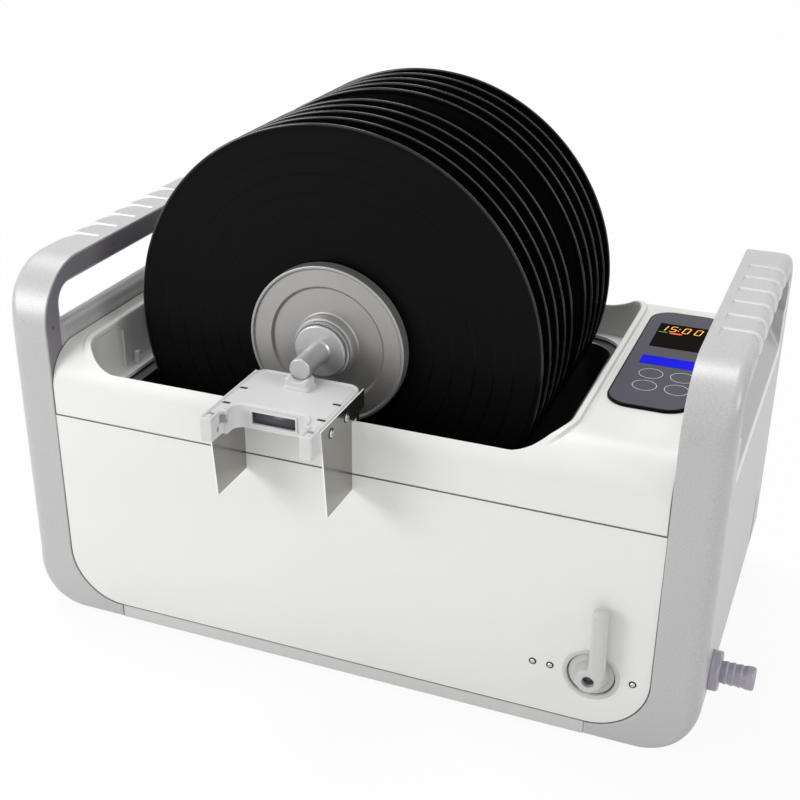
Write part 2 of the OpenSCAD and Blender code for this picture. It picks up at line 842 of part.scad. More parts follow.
// A cradle drawn for the front: x from the spindle, y from the front face, z in the machine's frame
module cradle(recess_y, corner_r, groove_r) {
  boss_half = groove_r + 1;
  half = cradle_w / 2;
  top = z_base + cradle_h;
  low = top - cradle_skirt;
  difference() {
    union() {
      translate([0, 0, low]) linear_extrude(cradle_skirt) difference() {
        cradle_plan(0);
        cradle_recess(recess_y, corner_r, 0);
      }
      translate([-boss_half, 0, top - eps]) cube([2 * boss_half, saddle_l, saddle_h]);
    }
    translate([0, 0, low - 1]) linear_extrude(cradle_skirt - cradle_t + 1) difference() {
      cradle_plan(2.5);
      cradle_recess(recess_y, corner_r, 2.5);
      for (side = [-1, 1])
        translate([side * (half - 5), -cradle_reach]) square([10, 2 * 11], center = true);
    }
    translate([0, -1, spindle_z]) rod_y(groove_r + run_gap, saddle_l + 2);
    for (side = [-1, 1], y = cradle_screw_y) {
      translate([side * (half - 4.4) - 2.6, y - 1, top - 2]) cube([5.2, 2, 3]);
      translate([side * half - 4, y, screw_z]) rod_x(1.4, 8);
    }
  }
}

// The cradle's plan, with round rear corners, shrunk by a margin
module cradle_plan(inset) {
  half = cradle_w / 2 - inset;
  back = cradle_in - inset;
  r = 8 - inset;
  translate([-half, -cradle_reach + inset]) square([2 * half, cradle_reach - inset + back - r]);
  translate([-half + r, 0]) square([2 * half - 2 * r, back]);
  for (side = [-1, 1])
    translate([side * (half - r), back - r]) circle(r = r);
}

// The recess between the arms, with round inner corners and stepped arm tips
module cradle_recess(recess_y, r, grow) {
  half = recess_w / 2 + grow;
  translate([-half, -cradle_reach - 1]) square([2 * half, cradle_reach + 1 - recess_y - r + grow]);
  translate([-half + r, -cradle_reach - 1]) square([2 * half - 2 * r, cradle_reach + 1 - recess_y + grow]);
  for (side = [-1, 1])
    translate([side * (half - r), -recess_y - r + grow]) circle(r = r);
  translate([-half - 3.4, -cradle_reach - 1]) square([2 * half + 6.8, 15]);
}

// A steel flange in side view: it stands before the front face and hooks over the rim
module flange_outline() {
  top = z_base + cradle_h - 0.8;
  rim = z_base + cradle_h - cradle_skirt + 0.2;
  hook = z_base + 188;
  polygon([[-48, top], [-40.5, z_base + flange_low], [-0.4, z_base + flange_low], [-0.4, rim],
    [well_edge + 0.7, rim], [well_edge + 0.7, hook], [well_edge + 6, hook], [well_edge + 6, rim + 2],
    [cradle_in - 1, rim + 2], [cradle_in - 1, top]]);
}

// One flange on the given side of the cradle, in the front cradle's frame
module flange(side) {
  difference() {
    translate([side > 0 ? cradle_w / 2 : -cradle_w / 2 - flange_t, 0, 0]) along_x(flange_t) flange_outline();
    for (y = cradle_screw_y)
      translate([side * cradle_w / 2 - 4, y, screw_z]) rod_x(1.6, 8);
  }
}

module cradle_fasteners() {
  for (side = [-1, 1], y = cradle_screw_y)
    translate([side * (cradle_w / 2 + flange_t), y, screw_z]) rotate([0, 0, side > 0 ? 0 : 180])
      small_screw(2.9, 1.5, 1.35, 4.8);
}

// The plastic bush that the rear journal turns in; it lies still in the rear saddle
module spindle_bush() {
  flange_y = -y_front - saddle_l - 1.7;
  flange_r = min(bush_r + 2, spindle_h - cradle_h - 0.3);
  color("ivory") translate([spindle_x, flange_y, spindle_z]) difference() {
    union() {
      rod_y(flange_r, 1.5);
      rod_y(bush_r, saddle_l + 1.2);
    }
    translate([0, -1, 0]) rod_y(journal_d / 2 + run_gap, saddle_l + 4);
  }
}

module at_front() { translate([spindle_x, y_front, 0]) children(); }
module at_rear() { translate([spindle_x, -y_front, 0]) mirror([0, 1, 0]) children(); }

module front_cradle() {
  top = z_base + cradle_h;
  color("gainsboro") at_front() difference() {
    cradle(recess_in, 7, journal_d / 2);
    translate([-15.5, -recess_in - 1, top - 11.7]) cube([31, 2.2, 8.4]);
  }
}

module front_flange_left() { color("silver") at_front() flange(-1); }
module front_flange_right() { color("silver") at_front() flange(1); }
module cradle_screws() { color("gray") at_front() cradle_fasteners(); }

module rear_cradle() {
  top = z_base + cradle_h;
  slot_r = gear_r + gear_module + 1.4;
  slot_y = -(gear_y + y_front) + 1;
  color("gainsboro") at_rear() difference() {
    cradle(motor_y + y_front, 1, bush_r);
    translate([-slot_r, slot_y - gear_slot - 2, top - cradle_skirt - 1])
      cube([2 * slot_r, gear_slot + 2, cradle_skirt + 2]);
    for (side = [-1, 1])
      translate([side * lug_x, lug_screw_y, top - cradle_skirt - 1]) cylinder(r = 1.4, h = 12);
  }
}

module rear_flange_left() { color("silver") at_rear() flange(-1); }
module rear_flange_right() { color("silver") at_rear() flange(1); }
module rear_cradle_screws() {
  color("gray") at_rear() {
    cradle_fasteners();
    for (side = [-1, 1])
      translate([side * lug_x, lug_screw_y, z_base + cradle_h - cradle_skirt - lug_t]) rotate([0, 90, 0])
        small_screw(2.6, 1.5, 1.35, 9);
  }
}

module motor_case() {
  lug_z = z_base + cradle_h - cradle_skirt - lug_t;
  color("gainsboro") translate([spindle_x, motor_y + 1, 0]) difference() {
    union() {
      translate([0, 0, case_low]) along_y(case_l) outline(case_w, case_high - case_low, 6, 8);
      translate([-recess_w / 2 - lug_out, case_l - lug_l, lug_z])
        cube([recess_w + 2 * lug_out, lug_l, lug_t - 0.05]);
    }
    translate([0, case_wall, case_low + case_wall]) along_y(case_l - 2 * case_wall)
      outline(case_w - 2 * case_wall, case_high - case_low - 2 * case_wall, 6 - case_wall, 8 - case_wall);
    translate([0, -1, motor_z]) rod_y(9, case_wall + 2);
    for (side = [-1, 1])
      translate([side * lug_x, case_l - lug_l / 2, lug_z - 1]) cylinder(r = 1.6, h = lug_t + 2);
    translate([12, case_l - case_wall - 1, case_low + 12]) rod_y(4, case_wall + 2);
  }
}

module gear_motor() {
  body_l = 20;
  shaft_l = motor_y + 1 + case_wall - gear_y - 0.5;
  color("silver") translate([spindle_x, motor_y + 1 + case_wall, motor_z]) {
    rod_y(18, body_l);
    translate([0, body_l - eps, 0]) rod_y(15, case_l - body_l - 2 * case_wall + eps);
    translate([0, -case_wall - 3, 0]) rod_y(6, case_wall + 3 + eps);
    translate([0, -shaft_l, 0]) rod_y(2.5, shaft_l + eps);
  }
}

// A spur gear with straight flanks, along +Y from its near face
module spur_gear(teeth, thick, bore_r, turn) {
  r = teeth * gear_module / 2;
  step = 360 / teeth;
  root = r - 1.25 * gear_module;
  tip = r + 0.95 * gear_module;
  polar = [for (i = [0:teeth - 1], c = [[root, -0.30], [tip, -0.11], [tip, 0.11], [root, 0.30]])
    [c[0] * cos((i + c[1]) * step + turn), c[0] * sin((i + c[1]) * step + turn)]];
  rotate([90, 0, 0]) translate([0, 0, -thick]) linear_extrude(thick) difference() {
    polygon(polar);
    circle(r = bore_r);
  }
}

module motor_pinion() {
  color("ivory") translate([spindle_x, gear_y, motor_z])
    spur_gear(pinion_teeth, gear_t, 2.5 + 0.02, 90 + 180 / pinion_teeth);
}

module drive_gear() {
  color("ivory") translate([spindle_x, gear_y, spindle_z])
    spur_gear(gear_teeth, gear_t, journal_d / 2 + 0.02, -90);
}

module spindle_rod() {
  start = knob_y - 14;
  color("silver") translate([spindle_x, start, spindle_z]) rod_y(rod_d / 2, rear_hub_y - start);
}

// The rear hub, its journal and the boss that carries the gear are one turned piece
module rear_hub() {
  r = hub_d / 2;
  l = gear_y + gear_t + 1 - rear_hub_y;
  color("silver") translate([spindle_x, rear_hub_y, spindle_z]) rotate([-90, 0, 0]) rotate_extrude() polygon([
    [0, 0], [r - 1, 0], [r, 1], [r, rear_hub_t - 1], [r - 1, rear_hub_t], [r - 5, rear_hub_t],
    [r - 6, rear_hub_t - 2], [14, rear_hub_t - 2], [13, rear_hub_t], [journal_d / 2, rear_hub_t],
    [journal_d / 2, l - 1], [journal_d / 2 - 1, l], [0, l]]);
}

module front_hub() {
  r = hub_d / 2;
  color("silver") translate([spindle_x, hub_front_y, spindle_z])
    rotate([-90, 0, 0]) rotate_extrude() polygon([
    [rod_d / 2 + run_gap, -boss_t], [boss_d / 2 - 1, -boss_t], [boss_d / 2, 1 - boss_t], [boss_d / 2, 4],
    [r - 17, 4], [r - 16, 2], [r - 5, 2], [r - 4, 0], [r - 1, 0], [r, 1], [r, hub_t - 1], [r - 1, hub_t],
    [rod_d / 2 + run_gap, hub_t]]);
}

module clamp_knob() {
  l = knob_y - y_front - journal_in;
  r = journal_d / 2;
  color("silver") translate([spindle_x, knob_y, spindle_z]) difference() {
    union() {
      rod_y(knob_d / 2, knob_t);
      rotate([90, 0, 0]) rotate_extrude() polygon([[0, -eps], [r, -eps], [r, l - 1], [r - 1, l], [0, l]]);
    }
    translate([0, -20, 0]) rod_y(rod_d / 2 + run_gap, 30);
  }
}

module seal(y) {
  color("dimgray") translate([spindle_x, y, spindle_z]) difference() {
    rod_y(spacer_d / 2, seal_t);
    translate([0, -1, 0]) rod_y(rod_d / 2 + run_gap, seal_t + 2);
  }
}

module front_seal() { seal(hub_front_y + hub_t); }
module rear_seal() { seal(last_y + record_t); }

// A spacer spool between two records, from its front face
module spool(l) {
  r = spacer_d / 2;
  rotate([-90, 0, 0]) rotate_extrude() polygon([
    [rod_d / 2 + run_gap, 0], [r, 0], [r, 3], [r - 14, 4], [r - 14, l - 4], [r, l - 3], [r, l],
    [rod_d / 2 + run_gap, l]]);
}

module spacers() {
  color("dimgray") for (i = [0:2 * record_half])
    if (i != record_half && i != record_half - 1 && i < 2 * record_half)
      translate([spindle_x, first_y + i * record_pitch + record_t, spindle_z]) spool(record_pitch - record_t);
}

module centre_spacer() {
  color("dimgray") translate([spindle_x, first_y + (record_half - 1) * record_pitch + record_t, spindle_z])
    spool(2 * record_pitch - record_t);
}

// One record from its front face: a thick rim bead and label, a thinner grooved band between
module record(y) {
  r = record_d / 2;
  translate([spindle_x, y, spindle_z]) rotate([-90, 0, 0]) rotate_extrude() polygon([
    [rod_d / 2 + run_gap, 0], [spacer_d / 2 + 2, 0], [spacer_d / 2 + 4, 0.15], [r - 5, 0.15], [r - 2.5, 0],
    [r - 0.5, 0.1], [r, record_t / 2], [r - 0.5, record_t - 0.1], [r - 2.5, record_t],
    [r - 5, record_t - 0.15], [spacer_d / 2 + 4, record_t - 0.15], [spacer_d / 2 + 2, record_t],
    [rod_d / 2 + run_gap, record_t]]);
}

module front_records() {
  color("black") for (i = [0:record_half - 1]) record(first_y + i * record_pitch);
}

module rear_records() {
  color("black") for (i = [record_half + 1:2 * record_half]) record(first_y + i * record_pitch);
}

base_tray();
front_panel();
rear_panel();
top_cover();
well_liner();
left_end_frame();
right_end_frame();
left_handle_plate();
right_handle_plate();
handle_screws();
feet();
tank();
tank_gasket();
transducer_heads();
piezo_rings();
transducer_weights();
heater_pads();
power_board();
board_pillars();
display_board();
control_panel();
display_window();
fan_frame();
fan_rotor();
power_inlet();
drain_ring();
valve_body();
valve_ball();
valve_lever();
lever_screw();
panel_screws();
drain_elbow();
drain_pipe();
drain_nut();
drain_barb();
front_cradle();
front_flange_left();
front_flange_right();
rear_cradle();
rear_flange_left();
rear_flange_right();
cradle_screws();
rear_cradle_screws();
motor_case();
gear_motor();
motor_pinion();
spindle_bush();
spindle_rod();
clamp_knob();
front_hub();
rear_hub();
front_seal();
rear_seal();
spacers();
centre_spacer();
drive_gear();
front_records();
rear_records();
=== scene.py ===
"""Finish and fine shapes of a bench-top record cleaning machine, built round its construction model."""

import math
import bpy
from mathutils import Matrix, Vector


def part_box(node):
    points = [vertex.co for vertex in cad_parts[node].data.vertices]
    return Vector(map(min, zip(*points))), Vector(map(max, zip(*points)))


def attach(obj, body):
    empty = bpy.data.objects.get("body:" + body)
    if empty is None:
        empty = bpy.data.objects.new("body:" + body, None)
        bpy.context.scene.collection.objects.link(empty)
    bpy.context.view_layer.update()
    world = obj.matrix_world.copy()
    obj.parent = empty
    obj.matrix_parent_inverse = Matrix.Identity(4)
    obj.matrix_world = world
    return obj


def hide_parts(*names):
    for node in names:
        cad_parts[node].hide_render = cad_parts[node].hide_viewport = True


bl_info = {
    "name": "Record Cleaning Machine",
    "version": (1, 0, 0),
    "blender": (4, 5, 0),
    "location": "3D Viewport > Sidebar > Record Cleaner",
    "description": "Gives the machine its moulded shapes and its finishes, with a plain studio round it",
    "category": "Object",
}

import bmesh
import bpy
import numpy as np
from mathutils import Matrix, Vector
from bpy.props import FloatProperty, FloatVectorProperty, IntProperty, PointerProperty

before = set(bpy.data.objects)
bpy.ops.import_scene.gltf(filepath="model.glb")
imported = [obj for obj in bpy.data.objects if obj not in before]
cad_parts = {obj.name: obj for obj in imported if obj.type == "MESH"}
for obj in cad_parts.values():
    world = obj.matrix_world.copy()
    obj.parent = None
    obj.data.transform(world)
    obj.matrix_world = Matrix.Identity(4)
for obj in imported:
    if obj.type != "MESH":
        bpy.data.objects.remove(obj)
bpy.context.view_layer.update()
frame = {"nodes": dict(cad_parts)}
MM = 0.001


def span(node):
    """Lowest and highest corner of a node of the construction model, in millimetres."""
    low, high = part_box(node)
    return np.array(low) / MM, np.array(high) / MM


def middle(node):
    """Middle of a node's box, in millimetres."""
    low, high = span(node)
    return (low + high) / 2


# Main places of the machine, read from its construction model, in millimetres
COVER_LOW, COVER_HIGH = span("top_cover")
SEAM_GAP = 0.3
X_LEFT = COVER_LOW[0] - SEAM_GAP / 2
X_RIGHT = COVER_HIGH[0] + SEAM_GAP / 2
Y_FRONT = COVER_LOW[1]
OUTER_X = span("right_end_frame")[1][0]
SPINDLE_X, _, SPINDLE_Z = middle("front_hub")
CONTROL_X, CONTROL_Y, _ = middle("control_panel")
VALVE_X, _, VALVE_Z = middle("drain_ring")
DRAIN_Y = middle("drain_nut")[1]
CRADLE_TOP = span("front_cradle")[1][2] - 7.5

# Sizes of the housing that several shapes share, in millimetres
FRAME_HALF = 141.0
FRAME_THICK = 33.0
HANDLE_TOP = 278.5
HANDLE_ROUND = 46.0
HOLE_HALF = 122.0
HOLE_MIDDLE = 246.75
HOLE_ROUND = 14.7
COVER_HALF = 140.0
COVER_TOP = 219.5
COVER_ROUND = 30.0
COVER_FOOT = 170.15
WELL_HALF = 178.0


def tint(red, green, blue):
    """A colour as seen on a screen, turned into scene light values."""
    return tuple(((c + 0.055) / 1.055) ** 2.4 if c > 0.04045 else c / 12.92 for c in (red, green, blue))


def colour_property(label, text, seen):
    """A colour, given as it is seen on a screen."""
    return FloatVectorProperty(name=label, description=text, subtype="COLOR", size=3, min=0, max=1,
                               default=tint(*seen))


def size_property(label, text, size):
    """A length, given in millimetres."""
    return FloatProperty(name=label, description=text, default=size * MM, min=0, precision=5, unit="LENGTH")


class ShapeSettings(bpy.types.PropertyGroup):
    record_radius: size_property("Record radius", "Radius of each record", 150.8)
    record_thickness: size_property("Record thickness", "Thickness of each record at its middle and rim", 1.6)
    lip: size_property("Lip", "Height of the raised lip round the bath's opening", 1.4)
    grip_depth: size_property("Grip depth", "Depth of the steps on the handles' inner half", 1.35)
    joint_width: size_property("Joint width", "Width of the dark joint round the panels", 0.6)
    knob_radius: size_property("Knob radius", "Radius of the clamp knob", 20.25)
    knurl_depth: size_property("Knurl depth", "Depth of the grooves in the knob's rim", 1.25)
    knurl_teeth: IntProperty(name="Knurl teeth", description="Number of ridges round the knob's rim",
                             default=64, min=12)
    digit_width: size_property("Digit width", "Width of one digit of the display", 4.1)
    digit_height: size_property("Digit height", "Height of the display's digits", 9.9)
    digit_stroke: size_property("Digit stroke", "Width of one lit segment", 0.74)
    button_radius: size_property("Button radius", "Radius of the rings that mark the touch buttons", 8.1)


class FinishSettings(bpy.types.PropertyGroup):
    cover: colour_property("Cover", "Colour of the white cover and panels", (0.935, 0.935, 0.92))
    frame: colour_property("End frames", "Colour of the speckled grey end frames", (0.755, 0.75, 0.75))
    strip: colour_property("Base strip", "Colour of the strip under the panels", (0.83, 0.83, 0.82))
    plate: colour_property("Inner plates", "Colour of the dark plates in the handles", (0.50, 0.485, 0.52))
    liner: colour_property("Liner", "Colour of the liner round the bath", (0.90, 0.90, 0.895))
    steel: colour_property("Tank steel", "Colour of the brushed tank", (0.60, 0.60, 0.61))
    polished: colour_property("Polished steel", "Colour of the cradle flanges", (0.64, 0.635, 0.62))
    turned: colour_property("Turned metal", "Colour of the hubs and the knob", (0.665, 0.66, 0.65))
    rack: colour_property("Cradles", "Colour of the cradles and the motor case", (0.845, 0.84, 0.84))
    lever: colour_property("Drain lever", "Colour of the drain lever and its ring", (0.80, 0.80, 0.79))
    barb: colour_property("Hose barb", "Colour of the hose barb and its nut", (0.66, 0.645, 0.69))
    film: colour_property("Panel film", "Colour of the control panel's film", (0.30, 0.295, 0.34))
    band: colour_property("Band", "Colour of the plain band on the control panel", (0.0, 0.0, 0.93))
    digit: colour_property("Digits", "Colour of the lit digits", (0.98, 0.68, 0.16))


class StageSettings(bpy.types.PropertyGroup):
    focal: FloatProperty(name="Lens", description="Focal length of the camera", default=58.849, unit="CAMERA")
    azimuth: FloatProperty(name="Azimuth", description="Turn of the camera round the machine",
                           default=math.radians(21.193), unit="ROTATION")
    elevation: FloatProperty(name="Elevation", description="Height angle of the camera",
                             default=math.radians(25.836), unit="ROTATION")
    roll: FloatProperty(name="Roll", description="Roll of the camera", default=math.radians(0.587),
                        unit="ROTATION")
    place: FloatVectorProperty(name="Place", description="Place of the camera", size=3, subtype="TRANSLATION",
                               default=(0.301865, -0.839928, 0.594128))
    key: FloatProperty(name="Key light", description="Power of the soft lamp at the front left", default=14.5,
                       unit="POWER")
    top: FloatProperty(name="Top light", description="Strength of the light from above", default=1.55)
    side: FloatProperty(name="Side light", description="Strength of the light from the right", default=0.65)
    ambient: FloatProperty(name="Ambient", description="Strength of the pale surroundings", default=0.42)


def shape_settings():
    """The lengths that a user may change."""
    return bpy.context.scene.record_cleaner_shape


def size(name):
    """A length of the shape settings, in millimetres."""
    return round(getattr(shape_settings(), name) / MM, 4)


def finish_settings():
    """The colours that a user may change."""
    return bpy.context.scene.record_cleaner_finish


def stage_settings():
    """The camera's place and the lamps' strengths."""
    return bpy.context.scene.record_cleaner_stage


# Shader maths


class Wire:
    """A shader socket that takes part in Python expressions; each operation adds its node."""

    def __init__(self, tree, socket):
        self.tree = tree
        self.socket = socket

    def feed(self, target):
        self.tree.links.new(self.socket, target)

    def node(self, kind, settings=(), sockets=(), out=0):
        """Adds any node to the same tree."""
        return add_node(self.tree, kind, settings, sockets, out)

    def maths(self, operation, *others):
        return self.node("ShaderNodeMath", {"operation": operation}, dict(enumerate((self,) + others)))

    def __add__(self, other):
        return self.maths("ADD", other)

    def __sub__(self, other):
        return self.maths("SUBTRACT", other)

    def __mul__(self, other):
        return self.maths("MULTIPLY", other)

    def __radd__(self, other):
        return self + other

    def __rsub__(self, other):
        return self.node("ShaderNodeMath", {"operation": "SUBTRACT"}, {0: other, 1: self})

    def __gt__(self, other):
        return self.maths("GREATER_THAN", other)

    def __lt__(self, other):
        return self.maths("LESS_THAN", other)

    def power(self, other):
        return self.maths("POWER", other)

    def between(self, low, high):
        """A soft step: 0 below low, 1 above high."""
        ranges = {"Value": self, "From Min": low, "From Max": high}
        return self.node("ShaderNodeMapRange", {"interpolation_type": "SMOOTHSTEP"}, ranges)

    def noise(self, scale, detail=2.0, rough=0.5):
        """Noise over this position, about 0.5 on average."""
        sockets = {"Vector": self, "Scale": scale, "Detail": detail, "Roughness": rough}
        return self.node("ShaderNodeTexNoise", {}, sockets)

    def stretched(self, x, y, z):
        """This position with each axis scaled."""
        return self.node("ShaderNodeVectorMath", {"operation": "MULTIPLY"}, {0: self, 1: (x, y, z)})

    def shifted(self, x, y, z):
        """This position moved."""
        return self.node("ShaderNodeVectorMath", {"operation": "ADD"}, {0: self, 1: (x, y, z)})

    def parts(self):
        """The three parts of this position."""
        return [self.node("ShaderNodeSeparateXYZ", {}, {0: self}, out=i) for i in range(3)]

    def blend(self, first, second):
        """A colour between two others, with this as the share of the second."""
        sockets = {"Factor": self, 6: first, 7: second}
        return self.node("ShaderNodeMix", {"data_type": "RGBA"}, sockets, out=2)


def add_node(tree, kind, settings=(), sockets=(), out=0):
    """Adds any node: settings first, then values or links of its sockets."""
    node = tree.nodes.new(kind)
    for name, value in dict(settings).items():
        setattr(node, name, value)
    for name, value in dict(sockets).items():
        target = node.inputs[name]
        if isinstance(value, Wire):
            value.feed(target)
        elif target.type == "RGBA" and len(value) == 3:
            target.default_value = (*value, 1)
        else:
            target.default_value = value
    return Wire(tree, node.outputs[out]) if node.outputs else node


class Finish:
    """A material in the making: its shader, its position on the piece, its facing and its bump."""

    def __init__(self, name, colour, roughness, **uniform):
        self.material = bpy.data.materials.new(name)
        self.material.use_nodes = True
        self.tree = self.material.node_tree
        self.shader = self.tree.nodes["Principled BSDF"]
        self.colour = tuple(colour)
        self.set("Base Color", colour)
        self.set("Roughness", roughness)
        for socket, value in uniform.items():
            self.set(socket.replace("_", " ").title().replace("Ior", "IOR"), value)
        self.place = add_node(self.tree, "ShaderNodeTexCoord", out=3)

    def facing(self):
        """The three parts of the surface's own direction."""
        return add_node(self.tree, "ShaderNodeTexCoord", out=1).parts()

    def set(self, name, value):
        target = self.shader.inputs[name]
        if isinstance(value, Wire):
            value.feed(target)
        elif target.type == "RGBA":
            target.default_value = (*value[:3], 1)
        else:
            target.default_value = value

    def shaded(self, share):
        """The finish's own colour times a varying share."""
        grey = share.node("ShaderNodeCombineXYZ", {}, {0: share, 1: share, 2: share})
        return grey.node("ShaderNodeVectorMath", {"operation": "MULTIPLY"}, {0: grey, 1: self.colour})

    def bump(self, height, distance, strength=1.0):
        sockets = {"Height": height, "Distance": distance, "Strength": strength}
        self.set("Normal", height.node("ShaderNodeBump", {}, sockets))


def around_spindle(place):
    """Distance from the spindle's axis, in metres."""
    x, _, z = place.shifted(-SPINDLE_X * MM, 0, -SPINDLE_Z * MM).parts()
    return (x * x + z * z).power(0.5)


def ringed(radius, scale, detail=2.0, rough=0.5):
    """Noise that changes with the distance from the spindle's axis only."""
    sockets = {"W": radius * scale, "Detail": detail, "Roughness": rough}
    return radius.node("ShaderNodeTexNoise", {"noise_dimensions": "1D"}, sockets)


def moulded(name, colour, roughness, speckle, grain, bump, **uniform):
    """Moulded plastic: fine speckle, a slow drift of tone and a fine grain in its surface."""
    made = Finish(name, colour, roughness, **uniform)
    fine = made.place.noise(grain, 2.0, 0.6)
    slow = made.place.noise(9.0, 3.0, 0.5)
    made.set("Base Color", made.shaded((fine - 0.5) * speckle + (slow - 0.5) * 0.035 + 1.0))
    made.set("Roughness", (slow - 0.5) * 0.10 + (fine - 0.5) * 0.05 + roughness)
    made.bump(fine + made.place.noise(grain * 0.31, 1.0) * 0.6, bump * MM)
    return made.material


def frame_paint(name, colour):
    """Speckled metallic paint of the end frames, with a painted highlight on their crisp edges and on the
    front faces of the grip's steps.
    """
    made = Finish(name, colour, 0.4, metallic=0.15)
    flake = made.place.noise(1000.0, 2.0, 0.75)
    slow = made.place.noise(9.0, 3.0, 0.5)
    # Painted highlight on the crisp edges, from the point attribute that build_end_frames writes.
    rubbed = add_node(made.tree, "ShaderNodeAttribute", {"attribute_name": "rubbed"}, out=2)
    _, along, high = made.place.parts()
    # Painted highlight on the grip's steps: faces that look forward, above 250 mm and within 80 mm of the
    # middle.
    faces_front = made.facing()[1].between(-0.45, -0.75)
    step = faces_front * (high > 0.25) * (along.maths("ABSOLUTE") < 0.08)
    tone = made.shaded((flake - 0.5) * 0.55 + (slow - 0.5) * 0.06 + 1.0)
    # Both painted highlights blend the paint towards near-white.
    made.set("Base Color", rubbed.maths("MAXIMUM", step).blend(tone, tint(0.94, 0.94, 0.94)))
    made.set("Roughness", (slow - 0.5) * 0.10 + (flake - 0.5) * 0.08 + 0.38)
    made.bump(flake, 0.04 * MM)
    return made.material


def brushed(name, colour, roughness, stretch, bump):
    """Brushed sheet metal: long streaks along the axis whose stretch is smallest."""
    made = Finish(name, colour, roughness, metallic=1.0)
    streak = made.place.stretched(*stretch).noise(1.0, 4.0, 0.65)
    slow = made.place.noise(14.0, 2.0)
    made.set("Base Color", made.shaded((streak - 0.5) * 0.22 + (slow - 0.5) * 0.10 + 1.0))
    made.set("Roughness", (streak - 0.5) * 0.22 + (slow - 0.5) * 0.12 + roughness)
    made.bump(streak, bump * MM)
    return made.material


def sheet_steel(name, colour):
    """Satin sheet steel: dark faces that mirror their surroundings, and a painted highlight on the cut edges.
    """
    made = Finish(name, colour, 0.2)
    face = made.facing()[0].maths("ABSOLUTE").between(0.5, 0.8)
    grain = made.place.noise(1300.0, 2.0, 0.6)
    slow = made.place.noise(40.0, 2.0)
    tone = made.shaded((grain - 0.5) * 0.35 + (slow - 0.5) * 0.15 + 1.0)
    # Painted highlight: surfaces that don't face along X get a near-white colour and no metal, for the light
    # that the cut edges catch.
    made.set("Base Color", face.blend(tint(0.98, 0.975, 0.955), tone))
    made.set("Metallic", face * 0.95)
    made.set("Roughness", (grain - 0.5) * 0.1 + (1.0 - face) * 0.25 + 0.2)
    made.bump(grain, 0.003 * MM)
    return made.material


def turned_metal(name, colour, roughness, bump, knurl=None):
    """Metal turned on a lathe: faint rings, a satin grain, and painted shade in the grooves of a knurl of
    that radius.
    """
    made = Finish(name, colour, roughness, metallic=0.7)
    radius = around_spindle(made.place)
    rings = ringed(radius, 2600.0, 2.0, 0.6)
    grain = made.place.noise(1500.0, 2.0, 0.7)
    slow = made.place.noise(25.0, 2.0)
    tone = (rings - 0.5) * 0.10 + (grain - 0.5) * 0.34 + (slow - 0.5) * 0.10 + 1.0
    if knurl:
        # Painted shade: the colour is darkened by up to 0.7 from 1.6 mm below the knurl's radius, fading out
        # towards its crests.
        rim = radius.between((knurl - 1.6) * MM, (knurl - 1.4) * MM)
        ridge = radius.between((knurl - 1.0) * MM, (knurl - 0.1) * MM)
        tone = tone * (1.0 - rim * (1.0 - ridge) * 0.7)
    made.set("Base Color", made.shaded(tone))
    made.set("Roughness", (rings - 0.5) * 0.16 + (grain - 0.5) * 0.10 + roughness)
    made.bump(rings * 0.6 + grain, bump * MM)
    return made.material


TRACK_ENDS = (74.0, 88.5, 104.0, 117.5, 131.0)


def vinyl(name):
    """Pressed vinyl: fine grooves in bands, with smooth gaps between the tracks and a smooth rim."""
    made = Finish(name, tint(0.045, 0.047, 0.045), 0.24, specular_ior_level=0.06, coat_roughness=0.1)
    radius = around_spindle(made.place) * (1.0 / MM)
    fine = ringed(radius, 3.4, 4.0, 0.75)
    broad = ringed(radius, 0.22, 1.0)
    grooved = radius.between(60.5, 62.0) * (1.0 - radius.between(145.5, 146.5))
    for track_end in TRACK_ENDS:
        grooved = grooved * (radius - track_end).maths("ABSOLUTE").between(0.5, 0.9)
    made.set("Roughness", 0.2 + grooved * (0.26 + (broad - 0.5) * 0.20))
    made.set("Base Color", made.shaded(0.95 + grooved * 0.08 + (broad - 0.5) * 0.4))
    made.set("Coat Weight", radius.between(149.0, 149.8) * 0.9)
    made.bump(fine * grooved, 0.02 * MM, 0.7)
    return made.material


def plain_gloss(name, colour, roughness, **uniform):
    """A smooth finish with faint smears and a fine surface ripple."""
    made = Finish(name, colour, roughness, **uniform)
    smear = made.place.noise(30.0, 4.0, 0.6)
    made.set("Roughness", (smear - 0.5) * 0.12 + roughness)
    made.set("Base Color", made.shaded((smear - 0.5) * 0.08 + 1.0))
    made.bump(made.place.noise(900.0, 2.0), 0.004 * MM)
    return made.material


def glowing(name, colour, strength):
    """A lit segment or bar of the display."""
    made = Finish(name, colour, 0.4, emission_strength=strength)
    made.set("Emission Color", colour)
    flicker = made.place.noise(700.0, 1.0)
    made.set("Base Color", made.shaded((flicker - 0.5) * 0.3 + 1.0))
    return made.material


